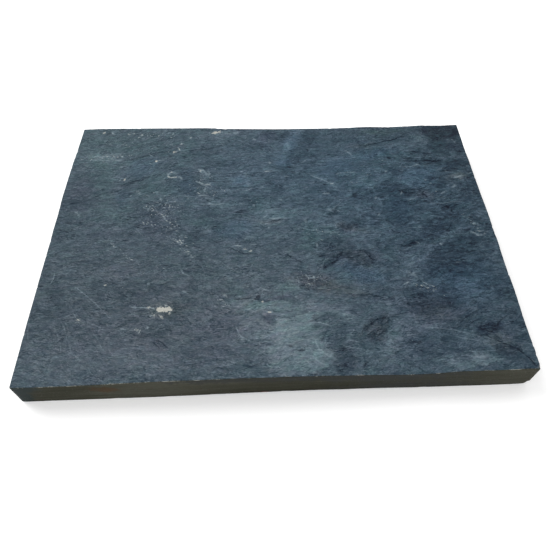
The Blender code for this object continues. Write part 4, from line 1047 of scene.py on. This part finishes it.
def buildStone():
    mesh = blankStone()
    cube = np.empty(len(mesh.vertices) * 3)
    mesh.vertices.foreach_get("co", cube)
    u, v, w = cube.reshape(-1, 3).T
    fromSideX, u = drawnToRim(u, stone["halfLength"])
    fromSideY, v = drawnToRim(v, stone["halfDepth"])
    share = np.interp((w + 1.0) / 2.0, np.linspace(0.0, 1.0, len(stone["rowShares"])), stone["rowShares"])
    onTop = w > 0.999
    x, y = outline(u, v)
    grain = grainPlace(x, y)
    marks, cracks, fray = faceMarks(x, y, onTop, share > 0.5)

    print("stone: relief")
    high = upperFace(x, y, marks["rough"], grain, cracks)
    low = lowerFace(x, y)
    z = low + (high - low) * share
    wallIn = stone["sawnIn"] + wander(x + y, z, "sawn sides")
    x = x - np.sign(u) * wallIn * (np.abs(u) > 0.99999)
    y = y - np.sign(v) * wallIn * (np.abs(v) > 0.99999)
    x, y, z, marks["arris"], along = roundArrises(x, y, z, (u, v), (fromSideX, fromSideY), low, high)
    x, y, z, marks["broken"] = breakCorners(x, y, z, share, low, high)
    marks.update(lateMarks(x, y, z, v, along, fray))

    lowest, highest = (np.array(corner) / mm for corner in cadBox)
    placed = np.clip(np.stack([x, y, z], axis=1), lowest, highest)
    mesh.vertices.foreach_set("co", (placed * mm).ravel())
    for name, values in marks.items():
        addMark(mesh, name, values)
    bed = mesh.attributes.new("bedPlace", "FLOAT_VECTOR", "POINT")
    bed.data.foreach_set("vector", np.stack([*grain, z + 40.0 * (1.0 - onTop)], axis=1).ravel())
    mesh.update()
    piece = bpy.data.objects.new("phyllite_stone", mesh)
    bpy.context.scene.collection.objects.link(piece)
    return piece


def screenColour(red, green, blue):
    def toLight(value):
        value = value / 255.0
        return value / 12.92 if value <= 0.04045 else ((value + 0.055) / 1.055) ** 2.4
    return (toLight(red), toLight(green), toLight(blue), 1.0)


def plug(tree, value, socket):
    if isinstance(value, bpy.types.NodeSocket):
        tree.links.new(value, socket)
    else:
        socket.default_value = value


def put(tree, kind, inputs=(), **settings):
    # one node with its settings; an input is a socket to wire in or a value to set
    node = tree.nodes.new(kind)
    for name, value in settings.items():
        setattr(node, name, value)
    for name, value in dict(inputs).items():
        plug(tree, value, node.inputs[name])
    return node


def calc(tree, operation, first, second=0.0, third=0.0):
    return put(tree, "ShaderNodeMath", {0: first, 1: second, 2: third}, operation=operation).outputs[0]


def remap(tree, value, fromLow, fromHigh, toLow=0.0, toHigh=1.0, shape="SMOOTHSTEP"):
    inputs = {"Value": value, "From Min": fromLow, "From Max": fromHigh, "To Min": toLow, "To Max": toHigh}
    return put(tree, "ShaderNodeMapRange", inputs, interpolation_type=shape).outputs["Result"]


def blend(tree, amount, first, second, mode="MIX"):
    inputs = {0: amount, 6: first, 7: second}
    return put(tree, "ShaderNodeMix", inputs, data_type="RGBA", blend_type=mode, clamp_factor=True).outputs[2]


def mark(tree, name):
    return put(tree, "ShaderNodeAttribute", attribute_name=name).outputs["Fac"]


def noiseTexture(tree, place, scale, detail, roughness, distortion=0.0):
    inputs = {"Vector": place, "Scale": scale, "Detail": detail, "Roughness": roughness}
    return put(tree, "ShaderNodeTexNoise", {**inputs, "Distortion": distortion}).outputs


def newGroup(name, inputs, outputs):
    # a group that takes the place and these numbers, with their defaults, and gives out numbers
    tree = bpy.data.node_groups.new(name, "ShaderNodeTree")
    tree.interface.new_socket("Place", in_out="INPUT", socket_type="NodeSocketVector")
    for socket, value in inputs.items():
        tree.interface.new_socket(socket, in_out="INPUT", socket_type="NodeSocketFloat").default_value = value
    for socket in outputs:
        tree.interface.new_socket(socket, in_out="OUTPUT", socket_type="NodeSocketFloat")
    return tree, tree.nodes.new("NodeGroupInput").outputs, tree.nodes.new("NodeGroupOutput").inputs


def useGroup(tree, group, inputs):
    return put(tree, "ShaderNodeGroup", inputs, node_tree=group).outputs


def drawnOut(tree, given):
    # the place in grain sizes, turned and stretched along the grain
    inputs = {"Vector": given["Place"], "Angle": given["Turn"]}
    turned = put(tree, "ShaderNodeVectorRotate", inputs, rotation_type="Z_AXIS", invert=True)
    parts = put(tree, "ShaderNodeSeparateXYZ", {0: turned.outputs[0]}).outputs
    along = calc(tree, "DIVIDE", parts[0], calc(tree, "MULTIPLY", given["Width"], given["Stretch"]))
    across, up = (calc(tree, "DIVIDE", part, given["Width"]) for part in (parts[1], parts[2]))
    return put(tree, "ShaderNodeCombineXYZ", {0: along, 1: across, 2: up}).outputs[0]


grainInputs = {"Turn": 0.0, "Width": 2.0, "Stretch": 2.0}  # Width is the size across the grain in millimetres


def silkGrainGroup():
    # drawn-out noise about 0, and thin wisps from 0 to 1
    tree, given, out = newGroup("silk grain", grainInputs, ["Streak", "Wisp"])
    place = drawnOut(tree, given)
    streak = calc(tree, "MULTIPLY_ADD", noiseTexture(tree, place, 1.0, 2.0, 0.7, 0.4)[0], 5.0, -2.5)
    other = calc(tree, "MULTIPLY_ADD", noiseTexture(tree, place, 1.37, 1.0, 0.6, 0.6)[0], 5.0, -2.5)
    tree.links.new(streak, out["Streak"])
    tree.links.new(remap(tree, calc(tree, "ABSOLUTE", other), 0.34, 0.0), out["Wisp"])
    return tree


def micaScalesGroup():
    # ragged scales, each with its own lightness about 0
    tree, given, out = newGroup("mica scales", grainInputs, ["Tone"])
    place = drawnOut(tree, given)
    warp = noiseTexture(tree, place, 1.6, 2.0, 0.6)["Color"]
    shifted = put(tree, "ShaderNodeVectorMath", {0: warp, 1: (1.1, 1.1, 0.0)}, operation="MULTIPLY")
    moved = put(tree, "ShaderNodeVectorMath", {0: place, 1: shifted.outputs[0]}, operation="ADD")
    cell = put(tree, "ShaderNodeTexVoronoi", {"Vector": moved.outputs[0], "Scale": 1.0})
    pick = put(tree, "ShaderNodeSeparateColor", {0: cell.outputs["Color"]}).outputs
    tree.links.new(calc(tree, "SUBTRACT", calc(tree, "ADD", pick[0], pick[1]), 1.0), out["Tone"])
    return tree


def thinSheetsGroup():
    # stepped height about 0, a painted highlight along the top of each step and painted shade along its
    # bottom
    tree, given, out = newGroup("thin sheets", {**grainInputs, "Steps": 6.0}, ["Height", "Lip", "Foot"])
    texture = noiseTexture(tree, drawnOut(tree, given), 1.0, 3.0, 0.55, 0.5)[0]
    climb = calc(tree, "MULTIPLY", texture, given["Steps"])
    part = calc(tree, "FRACT", climb)
    stepped = calc(tree, "ADD", calc(tree, "FLOOR", climb), remap(tree, part, 0.8, 1.0))
    height = calc(tree, "DIVIDE", calc(tree, "SUBTRACT", stepped, climb), given["Steps"])
    paintedHighlight = calc(tree, "MAXIMUM", remap(tree, part, 0.88, 1.0), remap(tree, part, 0.1, 0.0))
    paintedShade = calc(tree, "MULTIPLY", remap(tree, part, 0.5, 0.78), remap(tree, part, 0.9, 0.82))
    for value, name in ((height, "Height"), (paintedHighlight, "Lip"), (paintedShade, "Foot")):
        tree.links.new(value, out[name])
    return tree


def wornPatchesGroup():
    # patches about -1 and 1 with a crisp ragged border, and a thin painted highlight along it on the raised
    # side
    tree, given, out = newGroup("worn patches", {**grainInputs, "Share": 0.5}, ["Patch", "Rim"])
    texture = noiseTexture(tree, drawnOut(tree, given), 1.0, 4.0, 0.62, 0.7)[0]
    over = calc(tree, "SUBTRACT", texture, given["Share"])
    fromRim = calc(tree, "ABSOLUTE", calc(tree, "SUBTRACT", over, 0.02))
    tree.links.new(remap(tree, over, -0.025, 0.025, -1.0, 1.0), out["Patch"])
    tree.links.new(remap(tree, fromRim, 0.02, 0.0), out["Rim"])
    return tree


def flecksGroup():
    # small ragged flecks, more of them where Density is high
    tree, given, out = newGroup("flecks", {**grainInputs, "Density": 0.2}, ["Mask", "Heart"])
    texture = noiseTexture(tree, drawnOut(tree, given), 1.0, 1.0, 0.5)[0]
    limit = calc(tree, "MULTIPLY_ADD", given["Density"], -0.24, 0.8)
    above = calc(tree, "SUBTRACT", texture, limit)
    tree.links.new(remap(tree, above, 0.0, 0.05), out["Mask"])
    tree.links.new(remap(tree, above, 0.05, 0.13), out["Heart"])
    return tree


def drawnLineGroup():
    # a broken line of ragged width from its side in half widths and its strength
    tree, given, out = newGroup("drawn line", {"Side": 9.0, "Strength": 0.0, "Ragged": 0.5}, ["Mask"])
    fine = noiseTexture(tree, given["Place"], 0.75, 2.0, 0.7)[0]
    gaps = noiseTexture(tree, given["Place"], 0.23, 2.0, 0.6)[0]
    fray = calc(tree, "MULTIPLY", calc(tree, "SUBTRACT", fine, 0.5), given["Ragged"])
    away = calc(tree, "ADD", calc(tree, "ABSOLUTE", given["Side"]), fray)
    held = calc(tree, "MULTIPLY", given["Strength"], remap(tree, gaps, 0.3, 0.56, 0.25, 1.0))
    tree.links.new(calc(tree, "MULTIPLY", remap(tree, away, 1.2, 0.3), held), out["Mask"])
    return tree


def newMaterial(name):
    material = bpy.data.materials.new(name)
    material.use_nodes = True
    return material, material.node_tree, material.node_tree.nodes["Principled BSDF"]


def toneRamp(tree, tone, look, asShown):
    # tone is the lightness a screen shows, from darkest to palest
    share = remap(tree, tone, look["darkest"], look["palest"], shape="LINEAR")
    ramp = put(tree, "ShaderNodeValToRGB", {0: share})
    stops = ramp.color_ramp.elements
    for at in (0.0, 0.25, 0.5, 0.75, 1.0):
        level = look["darkest"] + (look["palest"] - look["darkest"]) * at
        stop = stops[0] if at == 0.0 else stops[-1] if at == 1.0 else stops.new(at)
        stop.color = asShown(*(level + lean for lean in look["lean"]))
    return ramp.outputs[0]


def shownAt(gain):
    # turns a screen colour into the base colour that shows as it where the light has this gain
    def asShown(red, green, blue):
        shown = np.array(screenColour(max(red, 0.0), green, blue)[:3])
        return (*np.clip((shown - studio["sheen"]) / gain, 0.001, 1.0), 1.0)
    return asShown


studio = {
    "worldStrength": 0.85,
    "keyAt": (-1.5, 1.2, 1.7), "keySize": 2.2, "keyPower": 62.0,
    "fillAt": (1.3, -1.3, 1.2), "fillSize": 1.4, "fillPower": 6.0,
    "floorRadius": 12.0, "floorDrop": 0.0004,
    "floorColour": (0.86, 0.86, 0.86), "floorGlow": 0.22, "floorRoughness": 0.9, "floorSpecular": 0.1,
    "onTop": 1.41, "onSide": 0.98, "sheen": 0.0195,  # how bright the light makes the stone, for its colours
}
underLight, onSide = shownAt(studio["onTop"]), shownAt(studio["onSide"])


def wornRim(tree, fray):
    # broken pale wear along the arrises
    rim = remap(tree, mark(tree, "arris"), 0.05, 0.5)
    wear = calc(tree, "MULTIPLY_ADD", fray, 0.5, mark(tree, "wear"))
    return calc(tree, "MULTIPLY", rim, remap(tree, wear, 0.2, 0.9))


def wearAway(tree, base, fray, asShown, worn, fresh):
    # worn arrises in one colour, and the breaks at the corners half in another
    base = blend(tree, wornRim(tree, fray), base, asShown(*worn))
    return blend(tree, calc(tree, "MULTIPLY", mark(tree, "broken"), 0.5), base, asShown(*fresh))


def finishSurface(tree, shader, look, base, height, roughness):
    bump = put(tree, "ShaderNodeBump", {"Height": height, "Distance": mm, "Strength": look["bump"]})
    tree.links.new(base, shader.inputs["Base Color"])
    tree.links.new(bump.outputs[0], shader.inputs["Normal"])
    tree.links.new(roughness, shader.inputs["Roughness"])
    shader.inputs["Specular IOR Level"].default_value = look["specular"]


def addLayers(tree, total, layers, fields, amounts):
    # adds up what the layers give out, each times its amount and the field that it swells and fades with
    for name, output, amount, *field in amounts:
        if field:
            amount = calc(tree, "MULTIPLY", fields[field[0]], amount)
        total = calc(tree, "MULTIPLY_ADD", layers[name][output], amount, total)
    return total


def cleftFields(tree, layers):
    # what the layers swell and fade with; the finest grain is weaker where the stone is silky
    fields = {name: mark(tree, name) for name in ("rough", "silk", "steepRight", "steepLeft")}
    lively = remap(tree, layers["lively"]["Streak"], -0.7, 0.7, 0.35, 1.5)
    busy = calc(tree, "MULTIPLY_ADD", lively, 0.6, 0.4)
    busy = calc(tree, "MULTIPLY_ADD", layers["patches"]["Patch"], 0.25, busy)
    unsilky = calc(tree, "MULTIPLY", calc(tree, "MULTIPLY_ADD", fields["silk"], -4.0, 10.5), busy)
    return {**fields, "lively": lively, "busy": busy, "unsilky": unsilky}


def placedChips(tree, layers):
    # the lightness of the chip that lies here, inside its ragged rim
    edge = mark(tree, "chipInside")
    for name, amount in (("fine", 1.1), ("finest", 0.5), ("middle", 1.4)):
        edge = calc(tree, "MULTIPLY_ADD", layers[name]["Streak"], amount, edge)
    return calc(tree, "MULTIPLY", mark(tree, "chipAmount"), remap(tree, edge, -0.3, 0.4))


def cleftTone(tree, layers, fields, chip):
    # lightness in screen steps: broad clouds, then grain from coarse to fine
    placed = stone["placedTones"]
    ragged = calc(tree, "MULTIPLY_ADD", layers["fine"]["Streak"], 0.3, 1.0)
    ragged = calc(tree, "MULTIPLY_ADD", layers["chips"]["Patch"], 0.35, ragged)
    # the broad tone mark is partly painted shade on the right side and painted sheen at the front middle
    tone = calc(tree, "ADD", mark(tree, "tone"), stone["cleftLook"]["middleTone"])
    ragged = calc(tree, "MULTIPLY", ragged, placed["patch"])
    tone = calc(tree, "MULTIPLY_ADD", mark(tree, "patch"), ragged, tone)
    tone = calc(tree, "MULTIPLY_ADD", chip, placed["chip"], tone)
    tone = addLayers(tree, tone, layers, fields, stone["cleftTones"])
    # painted shade under the high side of a ledge, and a painted highlight along its top
    side, strength = mark(tree, "crackMm"), mark(tree, "crackStrength")
    paintedShade = calc(tree, "MULTIPLY", remap(tree, side, -4.5, -0.4), remap(tree, side, 0.5, 0.0))
    paintedHighlight = calc(tree, "MULTIPLY", remap(tree, side, 0.5, 1.0), remap(tree, side, 2.6, 1.2))
    for part, amount in ((paintedShade, -placed["ledge"]), (paintedHighlight, placed["ledge"])):
        tone = calc(tree, "MULTIPLY_ADD", calc(tree, "MULTIPLY", part, strength), amount, tone)
    return tone


def leaningBase(tree, base, layers):
    for name, (amounts, tints) in stone["cleftLeans"].items():
        lean = addLayers(tree, mark(tree, name), layers, {}, amounts)
        for reach, most, tint in tints:
            tinted = blend(tree, 1.0, base, (*tint, 1.0), "MULTIPLY")
            base = blend(tree, remap(tree, lean, 0.0, reach, 0.0, most, "LINEAR"), base, tinted)
    return base


def cleftMaterial(groups):
    look, placed = stone["cleftLook"], stone["placedHeights"]
    material, tree, shader = newMaterial("phyllite cleft")
    place = put(tree, "ShaderNodeAttribute", attribute_name="bedPlace").outputs["Vector"]

    def layer(kind, width, stretch, turn=0.0, more=()):
        inputs = {"Place": place, "Width": width, "Stretch": stretch, "Turn": math.radians(turn)}
        return useGroup(tree, groups[kind], {**inputs, **dict(more)})

    def drawnLines(name, ragged):
        inputs = {"Side": mark(tree, name + "Side"), "Strength": mark(tree, name + "Strength")}
        return useGroup(tree, groups["line"], {"Place": place, "Ragged": ragged, **inputs})["Mask"]

    layers = {name: layer(*values) for name, values in stone["cleftLayers"].items()}
    fields, chip = cleftFields(tree, layers), placedChips(tree, layers)
    base = toneRamp(tree, cleftTone(tree, layers, fields, chip), look, underLight)
    base = leaningBase(tree, base, layers)

    # scattered pale flecks, then the ones with a place of their own
    cream, speckle = underLight(*look["cream"]), mark(tree, "speckle")
    for width, stretch, turn in stone["scattered"]["layers"]:
        flecks = layer("flecks", width, stretch, turn, {"Density": speckle})
        for part, colour in (("Mask", underLight(*look["paleGrey"])), ("Heart", cream)):
            base = blend(tree, calc(tree, "MULTIPLY", flecks[part], stone["scattered"][part]), base, colour)
    fleckEdge = calc(tree, "ADD", layers["fleckFray"]["Streak"], mark(tree, "fleckInside"))
    fleckMask = calc(tree, "MULTIPLY", remap(tree, fleckEdge, -0.1, 0.4), mark(tree, "fleckPale"))
    creamMask = calc(tree, "MAXIMUM", fleckMask, drawnLines("pale", 3.0))
    paleColour = blend(tree, remap(tree, creamMask, 0.35, 0.8), underLight(*look["paleBlue"]), cream)
    base = blend(tree, creamMask, base, paleColour)

    # cracks, ledges and pits, darkened with painted shade
    crackMask, fray = drawnLines("crack", 2.8), layers["fray"]["Streak"]
    pitEdge = calc(tree, "MULTIPLY_ADD", fray, 0.5, mark(tree, "pitInside"))
    pitShade = remap(tree, mark(tree, "pitDepth"), 0.0, 0.6, 0.2, 0.75)
    pitMask = calc(tree, "MULTIPLY", remap(tree, pitEdge, -0.1, 0.5), pitShade)
    crackAndPitShade = calc(tree, "MAXIMUM", calc(tree, "MULTIPLY", crackMask, 0.6), pitMask)
    base = blend(tree, crackAndPitShade, base, underLight(*look["crack"]))
    base = wearAway(tree, base, fray, underLight, look["worn"], look["fresh"])

    height = addLayers(tree, 0.0, layers, fields, stone["cleftHeights"])
    for value, name in ((chip, "chip"), (crackMask, "crack"), (creamMask, "cream")):
        height = calc(tree, "MULTIPLY_ADD", value, placed[name], height)
    roughness = calc(tree, "MULTIPLY_ADD", layers["middle"]["Streak"], 0.05, look["roughness"])
    roughness = calc(tree, "MULTIPLY_ADD", crackMask, 0.2, roughness)
    finishSurface(tree, shader, look, base, height, roughness)
    return material


def sawnMaterial(groups):
    look = stone["sawnLook"]
    material, tree, shader = newMaterial("phyllite sawn")
    own = put(tree, "ShaderNodeTexCoord").outputs["Object"]
    scaled = put(tree, "ShaderNodeVectorMath", {0: own, "Scale": 1.0 / mm}, operation="SCALE").outputs[0]
    parts = put(tree, "ShaderNodeSeparateXYZ", {0: scaled}).outputs
    # the bedding runs level round the block, so Z is the direction across it
    around = calc(tree, "MULTIPLY_ADD", parts[1], 0.83, parts[0])
    inward = calc(tree, "MULTIPLY", parts[1], 0.2)
    place = put(tree, "ShaderNodeCombineXYZ", {0: around, 1: parts[2], 2: inward}).outputs[0]

    def streak(width, stretch):
        inputs = {"Place": place, "Width": width, "Stretch": stretch, "Turn": 0.0}
        return useGroup(tree, groups["grain"], inputs)["Streak"]

    # the sawn tone mark includes a painted contact shadow along the bottom edge of the sawn sides
    tone = calc(tree, "ADD", mark(tree, "sawnTone"), look["middleTone"])
    saw = 0.0
    for width, stretch, amount in look["layers"]:
        layer = streak(width, stretch)
        tone = calc(tree, "MULTIPLY_ADD", layer, amount, tone)
        saw = calc(tree, "MULTIPLY_ADD", layer, 0.2, saw)
    base = toneRamp(tree, tone, look, onSide)

    # stains with ragged borders, the layers still showing in them
    ragged = streak(2.2, 1.3)
    layered = blend(tree, remap(tree, saw, -0.9, 0.9), (0.7, 0.7, 0.7, 1.0), (1.0, 1.0, 1.0, 1.0))
    for name, (colour, most) in look["stains"].items():
        edge = calc(tree, "MULTIPLY_ADD", ragged, 0.3, mark(tree, "sawn" + name))
        stained = blend(tree, 1.0, onSide(*colour), layered, "MULTIPLY")
        base = blend(tree, calc(tree, "MULTIPLY", remap(tree, edge, 0.15, 0.75), most), base, stained)
    specks = useGroup(tree, groups["flecks"], {"Place": place, **look["specks"]})["Mask"]
    base = blend(tree, calc(tree, "MULTIPLY", specks, look["speckShare"]), base, onSide(*look["speck"]))
    base = wearAway(tree, base, streak(1.1, 1.6), onSide, look["crumb"], look["fresh"])

    height = calc(tree, "MULTIPLY_ADD", streak(0.7, 1.2), 0.03, calc(tree, "MULTIPLY", saw, 0.05))
    roughness = calc(tree, "MULTIPLY_ADD", saw, -0.06, look["roughness"])
    finishSurface(tree, shader, look, base, height, roughness)
    return material


def areaLight(name, at, size, power):
    data = bpy.data.lights.new(name, "AREA")
    data.shape, data.size, data.energy = "DISK", size, power
    lamp = bpy.data.objects.new(name, data)
    lamp.location = at
    lamp.rotation_mode = "QUATERNION"
    lamp.rotation_quaternion = (Vector((0.0, 0.0, 0.0)) - Vector(at)).to_track_quat("-Z", "Y")
    bpy.context.scene.collection.objects.link(lamp)


def buildStudio():
    scene = bpy.context.scene
    world = bpy.data.worlds.new("studio white")
    world.use_nodes = True
    background = world.node_tree.nodes["Background"]
    background.inputs["Color"].default_value = (1.0, 1.0, 1.0, 1.0)
    background.inputs["Strength"].default_value = studio["worldStrength"]
    scene.world = world
    areaLight("key light", studio["keyAt"], studio["keySize"], studio["keyPower"])
    areaLight("fill light", studio["fillAt"], studio["fillSize"], studio["fillPower"])

    bm = bmesh.new()
    bmesh.ops.create_circle(bm, cap_ends=True, segments=96, radius=studio["floorRadius"])
    mesh = bpy.data.meshes.new("studio_floor")
    bm.to_mesh(mesh)
    bm.free()
    floor = bpy.data.objects.new("studio_floor", mesh)
    floor.location.z = -studio["floorDrop"]
    scene.collection.objects.link(floor)
    material, tree, shader = newMaterial("pale floor")
    shader.inputs["Base Color"].default_value = (*studio["floorColour"], 1.0)
    shader.inputs["Roughness"].default_value = studio["floorRoughness"]
    shader.inputs["Specular IOR Level"].default_value = studio["floorSpecular"]
    shader.inputs["Emission Color"].default_value = (1.0, 1.0, 1.0, 1.0)
    shader.inputs["Emission Strength"].default_value = studio["floorGlow"]
    mesh.materials.append(material)
    floor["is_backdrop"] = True
    scene.view_settings.view_transform = "Standard"
    scene.view_settings.look = "None"


def placeCamera():
    view = {"lens": 33.897, "sensor": 36.0, "at": (-11.4, -309.02, 387.07), "turn": (35.834, -0.373, -1.740)}
    data = bpy.data.cameras.new("camera")
    data.lens, data.sensor_width = view["lens"], view["sensor"]
    data.clip_start, data.clip_end = 0.01, 50.0
    camera = bpy.data.objects.new("camera", data)
    camera.location = [value * mm for value in view["at"]]
    camera.rotation_euler = [math.radians(value) for value in view["turn"]]
    bpy.context.scene.collection.objects.link(camera)
    bpy.context.scene.camera = camera


print("studio: camera, lights and floor")
placeCamera()
buildStudio()
print("stone: building the block")
stonePiece = buildStone()
print("stone: materials")
groups = {
    "grain": silkGrainGroup(), "scales": micaScalesGroup(), "sheets": thinSheetsGroup(),
    "patches": wornPatchesGroup(), "flecks": flecksGroup(), "line": drawnLineGroup(),
}
stonePiece.data.materials.append(cleftMaterial(groups))
stonePiece.data.materials.append(sawnMaterial(groups))
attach(stonePiece, "root")
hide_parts("phyllite_slab")

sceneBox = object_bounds()
roundedBox = [tuple(round(v, 5) for v in corner) for corner in sceneBox]
print("stone:", len(stonePiece.data.polygons), "faces; box", roundedBox)
